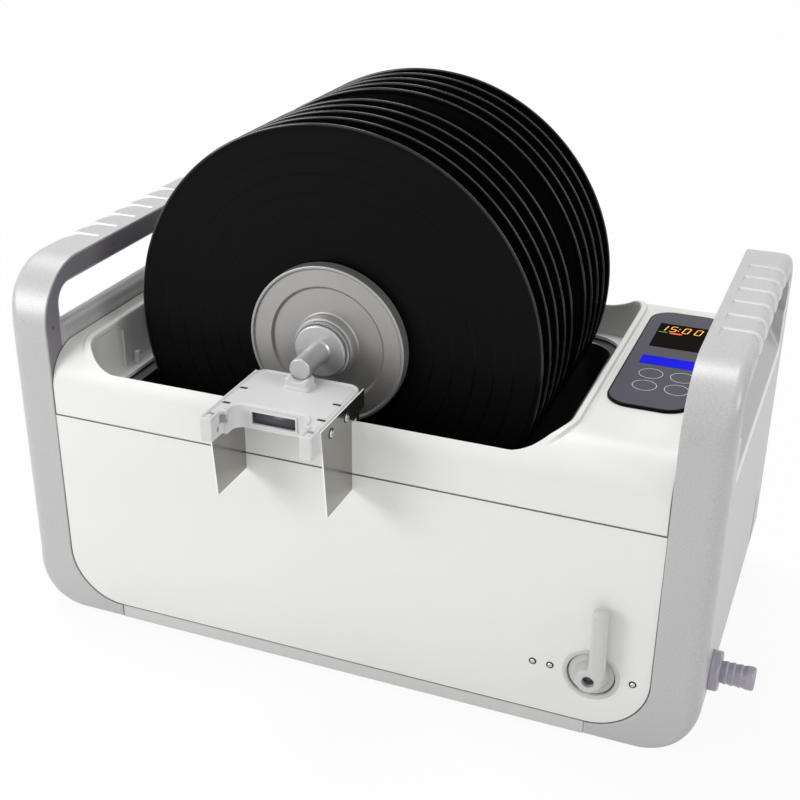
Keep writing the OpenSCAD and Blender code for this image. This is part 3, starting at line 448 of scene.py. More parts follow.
def make_finishes():
    """All finishes by name."""
    s = finish_settings()
    black = tint(0.10, 0.10, 0.105)
    return {
        "cover_white": moulded("cover_white", s.cover, 0.38, 0.02, 900.0, 0.010, specular_ior_level=0.3),
        "frame_grey": frame_paint("frame_grey", s.frame),
        "strip_grey": moulded("strip_grey", s.strip, 0.42, 0.06, 1100.0, 0.02),
        "plate_dark": moulded("plate_dark", s.plate, 0.55, 0.22, 1300.0, 0.05),
        "liner_grey": moulded("liner_grey", s.liner, 0.45, 0.06, 900.0, 0.03),
        "rack_white": moulded("rack_white", s.rack, 0.40, 0.05, 1200.0, 0.02),
        "lever_white": moulded("lever_white", s.lever, 0.30, 0.04, 1000.0, 0.01, coat_weight=0.2,
                               coat_roughness=0.15),
        "tank_steel": brushed("tank_steel", s.steel, 0.34, (40.0, 40.0, 1900.0), 0.01),
        "steel_mirror": sheet_steel("steel_mirror", s.polished),
        "screw_steel": brushed("screw_steel", tint(0.82, 0.82, 0.83), 0.24, (500.0, 500.0, 500.0), 0.004),
        "steel_dark": brushed("steel_dark", tint(0.34, 0.34, 0.36), 0.36, (700.0, 700.0, 700.0), 0.004),
        "alu": turned_metal("alu", s.turned, 0.40, 0.02),
        "knob_alu": turned_metal("knob_alu", tint(0.75, 0.745, 0.75), 0.36, 0.015, size("knob_radius")),
        "barb_metal": moulded("barb_metal", s.barb, 0.42, 0.45, 1300.0, 0.06, metallic=0.4),
        "brass": brushed("brass", tint(0.72, 0.58, 0.30), 0.30, (300.0, 300.0, 300.0), 0.004),
        "vinyl": vinyl("vinyl"),
        "rubber": moulded("rubber", tint(0.10, 0.10, 0.10), 0.75, 0.30, 1400.0, 0.05),
        "spacer_black": moulded("spacer_black", tint(0.07, 0.07, 0.07), 0.55, 0.30, 1400.0, 0.03),
        "black_plastic": moulded("black_plastic", black, 0.50, 0.20, 1500.0, 0.04),
        "gear_nylon": moulded("gear_nylon", tint(0.88, 0.86, 0.80), 0.38, 0.05, 900.0, 0.01),
        "ceramic": moulded("ceramic", tint(0.55, 0.50, 0.42), 0.6, 0.2, 1200.0, 0.03),
        "pad_orange": moulded("pad_orange", tint(0.72, 0.30, 0.12), 0.5, 0.1, 700.0, 0.03),
        "joint_grey": plain_gloss("joint_grey", tint(0.42, 0.42, 0.42), 0.5),
        # Painted shade for the inside of the cradle's window.
        "window_dark": plain_gloss("window_dark", tint(0.24, 0.23, 0.27), 0.35),
        "board_green": plain_gloss("board_green", tint(0.06, 0.26, 0.15), 0.35),
        "panel_film": moulded("panel_film", s.film, 0.42, 0.08, 1800.0, 0.008, specular_ior_level=0.12),
        "screen": plain_gloss("screen", tint(0.12, 0.108, 0.10), 0.2, specular_ior_level=0.0),
        "border_black": plain_gloss("border_black", tint(0.05, 0.05, 0.055), 0.12, specular_ior_level=0.04),
        "band_blue": plain_gloss("band_blue", s.band, 0.4, specular_ior_level=0.03),
        "print_white": plain_gloss("print_white", tint(0.86, 0.86, 0.88), 0.45),
        "digit_amber": glowing("digit_amber", s.digit, 0.95),
        "bar_green": glowing("bar_green", tint(0.25, 0.62, 0.16), 0.7),
        "bar_orange": glowing("bar_orange", tint(0.95, 0.30, 0.08), 0.9),
    }


finishes = {}


def finish_material(name):
    """The material of a finish; the first call makes them all."""
    if not finishes:
        finishes.update(make_finishes())
    return finishes[name]


# Geometry helpers; all their sizes are in millimetres


def grid(*stops):
    """Grid lines from pairs of a start and a step, closed by the end."""
    lines = []
    for (start, step), after in zip(stops[:-1], stops[1:]):
        end = after[0] if isinstance(after, tuple) else after
        count = max(1, round((end - start) / step))
        lines.append(np.linspace(start, end, count, endpoint=False))
    return np.concatenate(lines + [[stops[-1]]])


def ramp(value, low, high):
    """A soft step from 0 at low to 1 at high; low may be the larger."""
    t = np.clip((value - low) / (high - low), 0, 1)
    return t * t * (3 - 2 * t)


def meet(a, b, r):
    """What two shapes share, with a round outer edge of radius r; shapes are signed distances."""
    inside = np.minimum(-r, np.maximum(a, b))
    return inside + np.hypot(np.maximum(a + r, 0), np.maximum(b + r, 0))


def join(a, b, r):
    """Two shapes as one, with a round inner corner of radius r."""
    return -meet(-a, -b, r)


def cut(a, b, r):
    """The first shape without the second, with a round edge of radius r."""
    return meet(a, -b, r)


def box2(u, v, half_u, half_v, r):
    """A rectangle with round corners."""
    return meet(np.abs(u) - half_u, np.abs(v) - half_v, r)


def surface(shape, xs, ys, zs):
    """Points, quads and normals of the surface of a signed distance, on a box grid of uneven steps."""
    near = shape(xs[:, None, None], ys[None, :, None], zs[None, None, :])
    near = near * np.ones((len(xs), len(ys), len(zs)))
    cells = tuple(n - 1 for n in near.shape)
    total = np.zeros(cells + (3,))
    count = np.zeros(cells)
    lines = (xs, ys, zs)
    crossings = []
    for axis in range(3):
        low = [slice(None)] * 3
        high = [slice(None)] * 3
        low[axis], high[axis] = slice(None, -1), slice(1, None)
        a, b = near[tuple(low)], near[tuple(high)]
        where = np.argwhere((a < 0) != (b < 0))
        va, vb = a[tuple(where.T)], b[tuple(where.T)]
        share = va / (va - vb)
        point = np.stack([lines[k][where[:, k]] for k in range(3)], axis=1)
        point[:, axis] += share * (lines[axis][where[:, axis] + 1] - lines[axis][where[:, axis]])
        sides = [k for k in range(3) if k != axis]
        inner = np.all([(where[:, k] > 0) & (where[:, k] < cells[k]) for k in sides], axis=0)
        crossings.append((axis, where[inner], va[inner] < 0))
        for du in (0, 1):
            for dv in (0, 1):
                cell = where.copy()
                cell[:, sides[0]] -= du
                cell[:, sides[1]] -= dv
                good = np.all([(cell[:, k] >= 0) & (cell[:, k] < cells[k]) for k in range(3)], axis=0)
                np.add.at(total, tuple(cell[good].T), point[good])
                np.add.at(count, tuple(cell[good].T), 1)
    used = count > 0
    number = np.full(cells, -1)
    number[used] = np.arange(used.sum())
    points = total[used] / count[used][:, None]
    quads = []
    for axis, where, leaving in crossings:
        u, v = [k for k in range(3) if k != axis]
        corners = []
        for du, dv in ((0, 0), (1, 0), (1, 1), (0, 1)):
            cell = where.copy()
            cell[:, u] -= du
            cell[:, v] -= dv
            corners.append(number[tuple(cell.T)])
        quad = np.stack(corners, axis=1)
        turn = leaving if axis != 1 else ~leaving
        quad[~turn] = quad[~turn][:, ::-1]
        quads.append(quad)
    steps = np.stack([np.interp(points[:, k], (lines[k][:-1] + lines[k][1:]) / 2, np.diff(lines[k]))
                      for k in range(3)], axis=1)
    reach = steps.min(axis=1, keepdims=True) * 0.5
    for _ in range(3):
        slope = gradient(shape, points, 0.02)
        move = shape(*points.T)[:, None] * slope / np.maximum((slope ** 2).sum(axis=1, keepdims=True), 0.05)
        length = np.linalg.norm(move, axis=1, keepdims=True)
        points = points - move * np.minimum(1, reach / np.maximum(length, 1e-9))
    normals = gradient(shape, points, 0.15)
    normals /= np.maximum(np.linalg.norm(normals, axis=1, keepdims=True), 1e-9)
    return points, np.concatenate(quads), normals


def gradient(shape, points, step):
    """Slope of a signed distance at points."""
    slopes = []
    for axis in range(3):
        shift = np.zeros(3)
        shift[axis] = step
        slopes.append(shape(*(points + shift).T) - shape(*(points - shift).T))
    return np.stack(slopes, axis=1) / (2 * step)


def piece(name, points, faces, finish, body, replaced=(), slot=None, normals=None):
    """A mesh object from points in millimetres, which rides on a body."""
    mesh = bpy.data.meshes.new(name)
    points = np.asarray(points, dtype=float) * MM
    mesh.from_pydata(points.tolist(), [], faces.tolist() if isinstance(faces, np.ndarray) else faces)
    mesh.validate()
    mesh.polygons.foreach_set("use_smooth", [True] * len(mesh.polygons))
    if normals is not None:
        mesh.normals_split_custom_set_from_vertices(normals.tolist())
    mesh.materials.append(finish_material(finish))
    made = bpy.data.objects.new(name, mesh)
    bpy.context.scene.collection.objects.link(made)
    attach(made, body)
    if replaced:
        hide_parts(*replaced)
    return made


def weigh_normals(made):
    """Flat faces keep flat shading next to round edges."""
    made.modifiers.new("Normals", "WEIGHTED_NORMAL").keep_sharp = True


def moulding(name, shape, lines, finish, body, replaced=(), place=(0, 0, 0), mirror=False):
    """A moulded piece from a signed distance, moved to its place and mirrored in X where asked."""
    points, quads, normals = surface(shape, *lines)
    if mirror:
        points, normals, quads = points * (-1, 1, 1), normals * (-1, 1, 1), quads[:, ::-1]
    return piece(name, points + np.array(place), quads, finish, body, replaced, normals=normals)


def skin(loops, wrap=False, closed=True, caps=False):
    """Points and faces over loops of equally many points; caps close the first and the last loop."""
    count, rows = len(loops[0]), len(loops)
    faces = []
    for i in range(rows if wrap else rows - 1):
        j = (i + 1) % rows
        for k in range(count if closed else count - 1):
            m = (k + 1) % count
            faces.append([i * count + k, i * count + m, j * count + m, j * count + k])
    if caps:
        faces += [list(range(count))[::-1], list(range((rows - 1) * count, rows * count))]
    return np.concatenate(loops), faces


def gather(skins):
    """Several skins as one."""
    points, faces, start = [], [], 0
    for corners, sides in skins:
        points.append(corners)
        faces += [[start + int(k) for k in side] for side in sides]
        start += len(corners)
    return np.concatenate(points), faces


def shell(name, skinned, finish, body, replaced=(), slot=None, smooth=True):
    """A piece from a skin, with its faces turned outwards."""
    made = piece(name, *skinned, finish, body, replaced, slot)
    face_outwards(made)
    if not smooth:
        made.data.polygons.foreach_set("use_smooth", [False] * len(made.data.polygons))
    return made


def soften(corners, radius, steps=4, closed=False):
    """A line of 2-D corners with each corner rounded by a short curve."""
    corners = [np.array(c, dtype=float) for c in corners]
    count = len(corners)
    line = []
    for i, corner in enumerate(corners):
        if not closed and i in (0, count - 1):
            line.append(corner)
            continue
        before, after = corners[i - 1] - corner, corners[(i + 1) % count] - corner
        long_before, long_after = np.linalg.norm(before), np.linalg.norm(after)
        bend = before @ after / (long_before * long_after)
        if bend < -0.995:
            line.append(corner)
            continue
        bow = radius[i] if isinstance(radius, (list, tuple)) else radius
        back = min(bow / math.tan(math.acos(bend) / 2), 0.45 * long_before, 0.45 * long_after)
        start, end = corner + before / long_before * back, corner + after / long_after * back
        for k in range(steps + 1):
            t = k / steps
            line.append(start * (1 - t) ** 2 + corner * 2 * t * (1 - t) + end * t * t)
    return line


def lathe(name, profile, centre, finish, body, replaced=(), sides=192, slot=None, axis="Y"):
    """A turned piece from a closed profile of (radius, place along the axis)."""
    angles = np.linspace(0, 2 * math.pi, sides, endpoint=False)
    rings = []
    for r, along in profile:
        a, b = r * np.cos(angles), r * np.sin(angles)
        ring = (a, np.full(sides, along), b) if axis == "Y" else (np.full(sides, along), a, b)
        rings.append(np.stack(ring, axis=1) + np.array(centre))
    weigh_normals(shell(name, skin(rings, wrap=True), finish, body, replaced, slot))


def face_outwards(made):
    """Turns a piece's faces outwards, with its double points joined."""
    mesh = bmesh.new()
    mesh.from_mesh(made.data)
    bmesh.ops.remove_doubles(mesh, verts=mesh.verts, dist=1e-7)
    bmesh.ops.recalc_face_normals(mesh, faces=mesh.faces)
    mesh.to_mesh(made.data)
    mesh.free()


def arc(centre, radius, first, last, steps=16):
    """Points on an arc from one angle to another, in degrees."""
    angles = [math.radians(first + (last - first) * k / steps) for k in range(steps + 1)]
    return [(centre[0] + radius * math.cos(a), centre[1] + radius * math.sin(a)) for a in angles]


def rounded_rectangle(centre, width, length, radius, steps=10):
    """A rectangle with round corners, counter-clockwise."""
    line = []
    for sx, sy, first in ((1, 1, 0), (-1, 1, 90), (-1, -1, 180), (1, -1, 270)):
        corner = (centre[0] + sx * (width / 2 - radius), centre[1] + sy * (length / 2 - radius))
        line += arc(corner, radius, first, first + 90, steps)
    return line


def inset(outline, distance):
    """A counter-clockwise outline moved inwards."""
    line = np.array(outline)
    along = np.roll(line, -1, axis=0) - np.roll(line, 1, axis=0)
    along /= np.maximum(np.linalg.norm(along, axis=1, keepdims=True), 1e-9)
    return line + np.stack([-along[:, 1], along[:, 0]], axis=1) * distance


def slab(name, outline, low, high, bevel, finish, body, replaced=(), slot=None, axis="Z"):
    """A flat plate from a counter-clockwise outline, with a round edge towards its high face."""
    levels = [(0.0, low)]
    for turn in (0, 30, 60, 90):
        a = math.radians(turn)
        levels.append((bevel * (1 - math.cos(a)), high - bevel + bevel * math.sin(a)))
    loops = []
    for shrink, height in levels:
        loops.append([{"Z": (u, v, height), "X": (height, u, v), "-X": (-height, u, v)}[axis]
                      for u, v in inset(outline, shrink)])
    weigh_normals(shell(name, skin(loops, caps=True), finish, body, replaced, slot))


def soften_node(node, finish, width):
    """A node of the construction model gets its finish and small round edges."""
    made = frame["nodes"][node]
    made.data.materials.clear()
    made.data.materials.append(finish_material(finish))
    weld = made.modifiers.new("Weld", "WELD")
    weld.merge_threshold = 0.00002
    if width:
        flat = made.modifiers.new("Flat faces", "DECIMATE")
        flat.decimate_type = "DISSOLVE"
        flat.angle_limit = math.radians(0.4)
        bevel = made.modifiers.new("Edges", "BEVEL")
        bevel.width = width * MM
        bevel.segments = 2
        bevel.limit_method = "ANGLE"
        bevel.angle_limit = math.radians(32)
        bevel.miter_outer = "MITER_ARC"
        bevel.use_clamp_overlap = width > 0.2
    made.data.polygons.foreach_set("use_smooth", [True] * len(made.data.polygons))
    split = made.modifiers.new("Sharp edges", "EDGE_SPLIT")
    split.split_angle = math.radians(50 if width else 30)
    weigh_normals(made)


def solids(node):
    """The points of each separate solid of a node, in millimetres."""
    mesh = frame["nodes"][node].data
    points = np.empty(len(mesh.vertices) * 3)
    mesh.vertices.foreach_get("co", points)
    points = points.reshape(-1, 3) / MM
    same = np.unique(np.round(points, 3), axis=0, return_inverse=True)[1].ravel()
    ends = np.empty(len(mesh.edges) * 2, dtype=int)
    mesh.edges.foreach_get("vertices", ends)
    ends = same[ends].reshape(-1, 2)
    label = np.arange(same.max() + 1)
    before = None
    while before is None or (label != before).any():
        before = label.copy()
        low = np.minimum(label[ends[:, 0]], label[ends[:, 1]])
        np.minimum.at(label, ends[:, 0], low)
        np.minimum.at(label, ends[:, 1], low)
    return [points[label[same] == number] for number in np.unique(label)]


def screw_head(radius, height):
    """A domed cross-head screw's head along +Z, with its crown at 0."""
    def shape(x, y, z):
        r = np.hypot(x, y)
        ball = (radius ** 2 + (0.7 * height) ** 2) / (1.4 * height)
        head = meet(np.hypot(r, z + ball) - ball, np.maximum(r - radius, -height - z), 0.12)
        wide, long = radius * 0.16 - z * 0.05, radius * 0.66 + z * 0.3
        cross = np.minimum(np.maximum(np.abs(x) - wide, np.abs(y) - long),
                           np.maximum(np.abs(y) - wide, np.abs(x) - long))
        return cut(head, np.maximum(cross, -0.85 * height - z), 0.05)
    return shape


def build_screws(node, finish, height, body, lift=0.0, scale=1.0, shade=0.0):
    """Cross-head screws in place of a node's, with their heads where the node's are, each on a black ring of
    painted shade when a shade width is given.
    """
    heads, all_normals, rings, model = [], [], [], None
    for solid in solids(node):
        low, high = solid.min(axis=0), solid.max(axis=0)
        axis = int(np.argmax(high - low)) if node != "handle_screws" else 0
        across = [k for k in range(3) if k != axis]
        widths = [np.ptp(solid[np.abs(solid[:, axis] - end[axis]) < 0.005][:, across[0]])
                  for end in (low, high)]
        side = 1 if widths[1] > widths[0] else -1
        radius = np.ptp(solid[:, across[0]]) / 2 * scale
        if model is None:
            step = radius / 17
            wide = grid((-radius - 2 * step, step), radius + 2 * step)
            deep = grid((-height - 2 * step, step), 2 * step)
            model = surface(screw_head(radius, height), wide, wide, deep)
        centre = (low + high) / 2
        centre[axis] = (high if side > 0 else low)[axis] + side * lift
        turn = np.zeros((3, 3))
        turn[axis, 2] = side
        turn[across[0], 0] = 1
        turn[:, 1] = np.cross(turn[:, 2], turn[:, 0])
        # Painted shade: a thin black disc reaching shade beyond the head, for the shadow round each screw's
        # seat.
        if shade:
            around = arc((0, 0), radius + shade, 0, 360, 32)[:-1]
            loops = [np.array([(u, v, -deep) for u, v in around]) @ turn.T + centre
                     for deep in (height + 0.1, height - 0.12)]
            rings.append(skin(loops, caps=True))
        points, quads, normals = model
        heads.append((points @ turn.T + centre, quads.tolist()))
        all_normals.append(normals @ turn.T)
    if rings:
        shell(node + "_gaps", gather(rings), "black_plastic", body)
    piece(node + "_heads", *gather(heads), finish, body, (node,), normals=np.concatenate(all_normals))


# The end frames


GRIP_EDGES = (-56.0, -31.0, -5.5, 20.0, 44.5, 69.0)
FOOT_ROUND = 40.0
FOOT_LOW = 4.0
FOOT_END = 41.7
PANEL_CORNER = (42.0, 56.5, 42.15)
LEAF_MIDDLE = (92.0, 62.0)


def handle_hole(y, z):
    """The handle opening in side view, with wide upper corners."""
    return box2(y, z - HOLE_MIDDLE, HOLE_HALF, 14.75, np.where(z > HOLE_MIDDLE, HOLE_ROUND, 6))


def end_frame_parts(x, y, z):
    """The end frame's outer shell with its grips and dent, and the handle opening with its scoop."""
    side = meet(np.abs(y) - FRAME_HALF, z - HANDLE_TOP, HANDLE_ROUND)
    front = meet(-x - FRAME_THICK, FOOT_LOW - z, FOOT_ROUND)
    grip = np.zeros(np.broadcast(x, y, z).shape)
    for edge in GRIP_EDGES:
        rise = np.clip((y - edge + 19) / 19, 0, 1) ** 1.6 * (y < edge + 0.7)
        grip = grip + np.where(y > edge, rise * np.clip(1 - (y - edge) / 0.7, 0, 1), rise)
    inner_end = ramp(x, -6.2, -7.4)
    depth = grip * inner_end * (size("grip_depth") + 0.7 * ramp(x, -20, -31)) * ramp(z, 246, 254)
    leaf_y, leaf_z = y - LEAF_MIDDLE[0], z - LEAF_MIDDLE[1]
    along, aside = (leaf_y * 0.30 + leaf_z * 0.954) / 26, (leaf_y * 0.954 - leaf_z * 0.30) / 6.5
    leaf = 4.0 * ramp(along ** 2 + aside ** 2, 1, 0.4) * (x < -20)
    edge = 3.0 + 9.0 * ramp(z, 6, 52) - 5.0 * ramp(z, 236, 262)
    outside = meet(side + depth, front + depth, edge) + leaf
    scoop_line = ((x + 12) * 34 - (z - 232) * 22) / 40.5
    scoop = meet(meet(np.abs(y) - 111 - (z - 232) * 0.04, scoop_line, 3.0), z - 252, 0.5)
    return outside, join(handle_hole(y, z), scoop, 2.0)


def end_frame_shape(x, y, z):
    """The left end frame; x runs from its inner side outwards to the left."""
    outside, hole = end_frame_parts(x, y, z)
    body = cut(outside, hole, 1.1 + 3.6 * ramp(z, 246, 256))
    corner_x, corner_z, corner_r = PANEL_CORNER
    foot = np.maximum(corner_r - np.hypot(x - corner_x, z - corner_z), z - corner_z)
    foot = np.maximum(x - FOOT_END, foot)
    inner = np.minimum(x, foot)
    sill = ramp(z, 240, 233) * ramp(z, 205, 215) * ramp(np.abs(y), 121, 116)
    body = meet(body, inner, 0.6 + 7.6 * sill)
    hollow = np.maximum(np.maximum(0.4 - x, np.abs(y) - 137), 7.5 - z)
    return np.maximum(body, -hollow)


def end_frame_lines():
    """Grid lines for the end frame, closer where it curves."""
    xs = grid((-33.8, 0.9), (-19, 1.7), (-9, 0.45), (-5.5, 1.2), (-1.6, 0.35), (0.9, 1.5), (38, 0.7), 42.6)
    ys = [(-142.2, 0.7), (-128, 1.2), (-113, 0.6), (-108, 2.6)]
    for edge in GRIP_EDGES:
        ys += [(edge - 18.0, 2.2), (edge - 1.2, 0.3), (edge + 1.4, 0.8)]
    ys += [(GRIP_EDGES[-1] + 3, 2.2), (79, 0.9), (108, 0.6), (113, 1.2), (128, 0.7), 142.2]
    zs = grid((3.3, 0.6), (10, 1.3), (56, 1.7), (92, 3.4), (190, 1.1), (224, 0.7), (240, 1.6), (250, 0.7),
              279.2)
    return xs, grid(*ys), zs


def build_end_frames():
    """Both end frames, with an attribute for how strongly each point's edge gets a painted highlight."""
    lines = end_frame_lines()
    for name, mirror, place in (("left_end_frame", False, X_LEFT), ("right_end_frame", True, X_RIGHT)):
        made = moulding(name + "_shape", end_frame_shape, lines, "frame_grey", "housing", (name,),
                        (place, 0, 0), mirror)
        points = np.empty(len(made.data.vertices) * 3)
        made.data.vertices.foreach_get("co", points)
        x, y, z = (points.reshape(-1, 3) / MM - (place, 0, 0)).T
        outside, hole = end_frame_parts(-x if mirror else x, y, z)
        # Painted highlight: strongest where the outer shell meets the handle opening and its scoop, and none
        # near the handle's top.
        rubbed = ramp(np.maximum(np.abs(outside), np.abs(hole)), 1.5, 0.9) * ramp(z, 262, 256)
        made.data.attributes.new("rubbed", "FLOAT", "POINT").data.foreach_set("value", rubbed)


def build_handle_plates():
    """The dark plates that line the posts and the bar of each handle on their inner side."""
    rim, low = 1.5, 62
    post = FRAME_HALF - HANDLE_ROUND
    bend = (post, HANDLE_TOP - HANDLE_ROUND), (-post, HANDLE_TOP - HANDLE_ROUND)
    inner = HOLE_HALF - HOLE_ROUND
    line = [(FRAME_HALF - rim, low)]
    line += arc(bend[0], HANDLE_ROUND - rim, 0, 90) + arc(bend[1], HANDLE_ROUND - rim, 90, 180)
    line += [(rim - FRAME_HALF, low), (-HOLE_HALF - rim, low)]
    line += arc((-inner, HOLE_MIDDLE), HOLE_ROUND + rim, 180, 90)
    line += arc((inner, HOLE_MIDDLE), HOLE_ROUND + rim, 90, 0)
    line += [(HOLE_HALF + rim, low)]
    for name, axis, x in (("left_handle_plate", "X", X_LEFT), ("right_handle_plate", "-X", -X_RIGHT)):
        slab(name + "_shape", line, x - 1.0, x + 0.12, 0.3, "plate_dark", "housing", (name,), axis=axis)
    build_screws("handle_screws", "steel_dark", 0.7, "housing", lift=0.75, scale=1.35)


# The cover


def cover_shape(x, y, z):
    """The cover: round along its front and rear, with a raised lip and a groove round the opening."""
    side = meet(np.abs(y) - COVER_HALF, z - COVER_TOP, COVER_ROUND)
    ends = np.abs(x - (X_LEFT + X_RIGHT) / 2) - (X_RIGHT - X_LEFT - SEAM_GAP) / 2
    well = box2(x - SPINDLE_X, y, WELL_HALF, 133.7, 34.0)
    lip = size("lip") * ramp(well, 5.0, 4.2) - 0.9 * ramp(np.abs(well - 6.0), 1.2, 0.3)
    lip = lip * ramp(np.abs(y), 131, 122)
    outer = meet(side - lip, ends, 1.0)
    body = cut(outer, well, 1.5)
    cavity = np.maximum(side + 3, ends + 3)
    body = np.maximum(body, -cavity)
    return meet(body, COVER_FOOT - z, 0.45)


def build_cover():
    """The cover, on grid lines that are closer at its ends and round its opening."""
    low = SPINDLE_X - WELL_HALF
    high = SPINDLE_X + WELL_HALF
    xs = grid((X_LEFT - 0.6, 0.5), (X_LEFT + 4.5, 1.2), (low - 7, 0.6), (low + 3, 1.3), (low + 36, 7),
              (high - 36, 1.3), (high - 3, 0.6), (high + 7, 3.0), (X_RIGHT - 4.5, 0.5), X_RIGHT + 0.6)
    half = grid((0, 6), (94, 1.3), (127, 0.5), (136, 0.8), 141)
    ys = np.concatenate([-half[:0:-1], half])
    zs = grid((169.4, 0.4), (172, 2.5), (188, 1.2), (212, 0.55), 222)
    moulding("top_cover_shape", cover_shape, (xs, ys, zs), "cover_white", "housing", ("top_cover",))


def build_cover_joints():
    """The dark joints between the cover's ends and the end frames."""
    flat, bend, foot = COVER_HALF - COVER_ROUND, COVER_TOP - COVER_ROUND, COVER_FOOT + 0.15
    line = [(COVER_HALF, foot), (COVER_HALF, 180)] + arc((flat, bend), COVER_ROUND, 0, 90)
    line += arc((-flat, bend), COVER_ROUND, 90, 180) + [(-COVER_HALF, 180), (-COVER_HALF, foot)]
    low, high, count = inset(line, 0.5), inset(line, -0.03), len(line)
    for name, near, far in (("left", X_LEFT + 0.75, X_LEFT + 0.1), ("right", X_RIGHT - 0.75, X_RIGHT - 0.1)):
        section = ((near, high), (far, high), (far, low), (near, low))
        loops = [[(x, u, v) for u, v in side] for x, side in section]
        points, faces = skin(loops, wrap=True, closed=False)
        faces += [[k + count * i for i in range(4)] for k in (0, count - 1)]
        shell("cover_joint_" + name, (points, faces), "joint_grey", "housing")


# Records, hubs, spacers and the clamp knob


RECORD_PITCH = 18.73
BORE = 3.6
SPACER_R = 52.0


def at_spindle(y=0.0):
    """A point of the spindle's axis."""
    return (SPINDLE_X, y, SPINDLE_Z)


def build_records():
    """Ten records, each with a raised label and a raised rim on both faces."""
    rim, half = size("record_radius"), size("record_thickness") / 2
    face = [(BORE, half), (rim - 100.8, half), (rim - 97.8, half - 0.02), (rim - 94.8, half - 0.16),
            (rim - 4.8, half - 0.16), (rim - 2.4, half - 0.02), (rim - 0.9, half - 0.12),
            (rim - 0.2, half * 0.5), (rim, 0.12)]
    profile = face + [(r, -h) for r, h in face[::-1]]
    for node in ("front_records", "rear_records"):
        low, high = span(node)
        pitch = (high[1] - low[1] - 2 * half) / 4
        for i in range(5):
            lathe("%s_%d" % (node, i + 1), profile, at_spindle(low[1] + i * pitch + half), "vinyl", "spindle",
                  (node,), 288, "vinyl")


def build_spacers():
    """The spacers, of which the fifth is as long as two, and the label seals."""
    thick = size("record_thickness")
    first = span("spacers")[0][1]
    for i in (0, 1, 2, 3, 4, 6, 7, 8, 9):
        node, pitches = ("centre_spacer", 2) if i == 4 else ("spacers", 1)
        length = pitches * RECORD_PITCH - thick
        half = length / 2 - 0.02
        corners = [(BORE, -half), (SPACER_R, -half), (SPACER_R, 3 - half), (SPACER_R - 14, 4 - half)]
        corners += [(r, -y) for r, y in corners[::-1]]
        lathe("%s_%d" % (node, i + 1), soften(corners, 0.8, 3, closed=True),
              at_spindle(first + i * RECORD_PITCH + length / 2), "spacer_black", "spindle", (node,), 96)
    for node, body in (("front_seal", "clamp"), ("rear_seal", "spindle")):
        low, high = span(node)
        half = (high[1] - low[1]) / 2 - 0.01
        corners = [(BORE, -half), (SPACER_R, -half), (SPACER_R, half), (BORE, half)]
        lathe(node + "_shape", soften(corners, 0.5, 3, closed=True), at_spindle(middle(node)[1]), "rubber",
              body, (node,), 96)


def build_hubs():
    """The front hub with its boss and shallow dish, and the rear hub with its journal."""
    boss, back = span("front_hub")[0][1], span("front_hub")[1][1]
    face = back - 10
    corners = [(BORE, boss), (20.4, boss), (21.8, boss + 0.4), (22.2, face + 4), (40.6, face + 4),
               (42.4, face + 1.9), (54.6, face + 1.9), (55.6, face + 0.2), (57.5, face + 0.2), (57.5, back),
               (BORE, back)]
    radii = [0.1, 0.5, 0.5, 1.6, 1.0, 0.9, 0.7, 0.5, 0.9, 0.8, 0.1]
    lathe("front_hub_shape", soften(corners, radii, 5, closed=True), at_spindle(), "alu", "clamp",
          ("front_hub",), 256)
    face, end = span("rear_hub")[0][1], span("rear_hub")[1][1]
    corners = [(0.4, face), (56.7, face), (57.5, face + 0.8), (57.5, face + 5.9), (56.9, face + 6.5),
               (52.9, face + 6.5), (51.5, face + 4.5), (14.6, face + 4.5), (13, face + 6.5),
               (7.5, face + 6.5), (7.5, end - 1), (6.5, end), (0.4, end)]
    lathe("rear_hub_shape", soften(corners, 0.7, 4, closed=True), at_spindle(), "alu", "spindle",
          ("rear_hub",), 192)


def knurled_ring(name, low, high, finish, body):
    """The knob's rim: a diamond knurl between two plain chamfers, closed at both faces."""
    radius, depth = size("knob_radius"), size("knurl_depth")
    teeth = shape_settings().knurl_teeth
    sides, rows, inner, chamfer = teeth * 6, 22, 7.6, 0.7
    angles = np.linspace(0, 2 * math.pi, sides, endpoint=False)
    front = radius - 1.7
    levels = [(inner, low), (front - 1.2, low), (front - 0.7, low + 0.06), (front - 0.2, low + 0.4)]
    first = len(levels)
    for k in range(rows):
        share = k / (rows - 1)
        levels.append((front + 1.7 * min(1, 2.4 * share),
                       low + chamfer + (high - low - 2.2 * chamfer) * share))
    levels += [(radius - 0.5, high - 0.6), (radius - 1.6, high - 0.1), (radius - 2.2, high), (inner, high)]
    loops = []
    for i, (r, y) in enumerate(levels):
        around = np.full(sides, float(r))
        row = i - first
        if 0 <= row < rows:
            fade = min(1.0, 0.35 + min(row, rows - 1 - row) / 2.5)
            turn = (y - low) * 0.62
            a, b = (np.abs(((angles * teeth / (2 * math.pi) + lean) % 1) - 0.5) for lean in (turn, -turn))
            around -= depth * fade * (np.maximum(a, b) * 2) ** 3
        loop = np.stack([around * np.cos(angles), np.full(sides, y), around * np.sin(angles)], axis=1)
        loops.append(loop + np.array(at_spindle()))
    made = shell(name, skin(loops), finish, body, ("clamp_knob",))
    for polygon in made.data.polygons:
        at = polygon.center / MM
        away = math.hypot(at.x - SPINDLE_X, at.z - SPINDLE_Z)
        polygon.use_smooth = not front - 0.8 < away < radius + 0.1


def build_knob():
    """The clamp knob with the front journal, and the rod that it is screwed to."""
    end, back = span("clamp_knob")[0][1], span("clamp_knob")[1][1]
    ring = back - 6
    journal = [(0, end), (6.7, end), (7.5, end + 0.8), (7.5, ring - 1.4), (8.6, ring + 0.3),
               (8.6, ring + 5.8), (BORE, ring + 5.8), (BORE, end + 4), (0, end + 4)]
    lathe("knob_journal", soften(journal, 0.5, 4), at_spindle(), "knob_alu", "knob", ("clamp_knob",), 128)
    knurled_ring("knob_ring", ring, back, "knob_alu", "knob")
    soften_node("spindle_rod", "alu", 0)


# The control panel


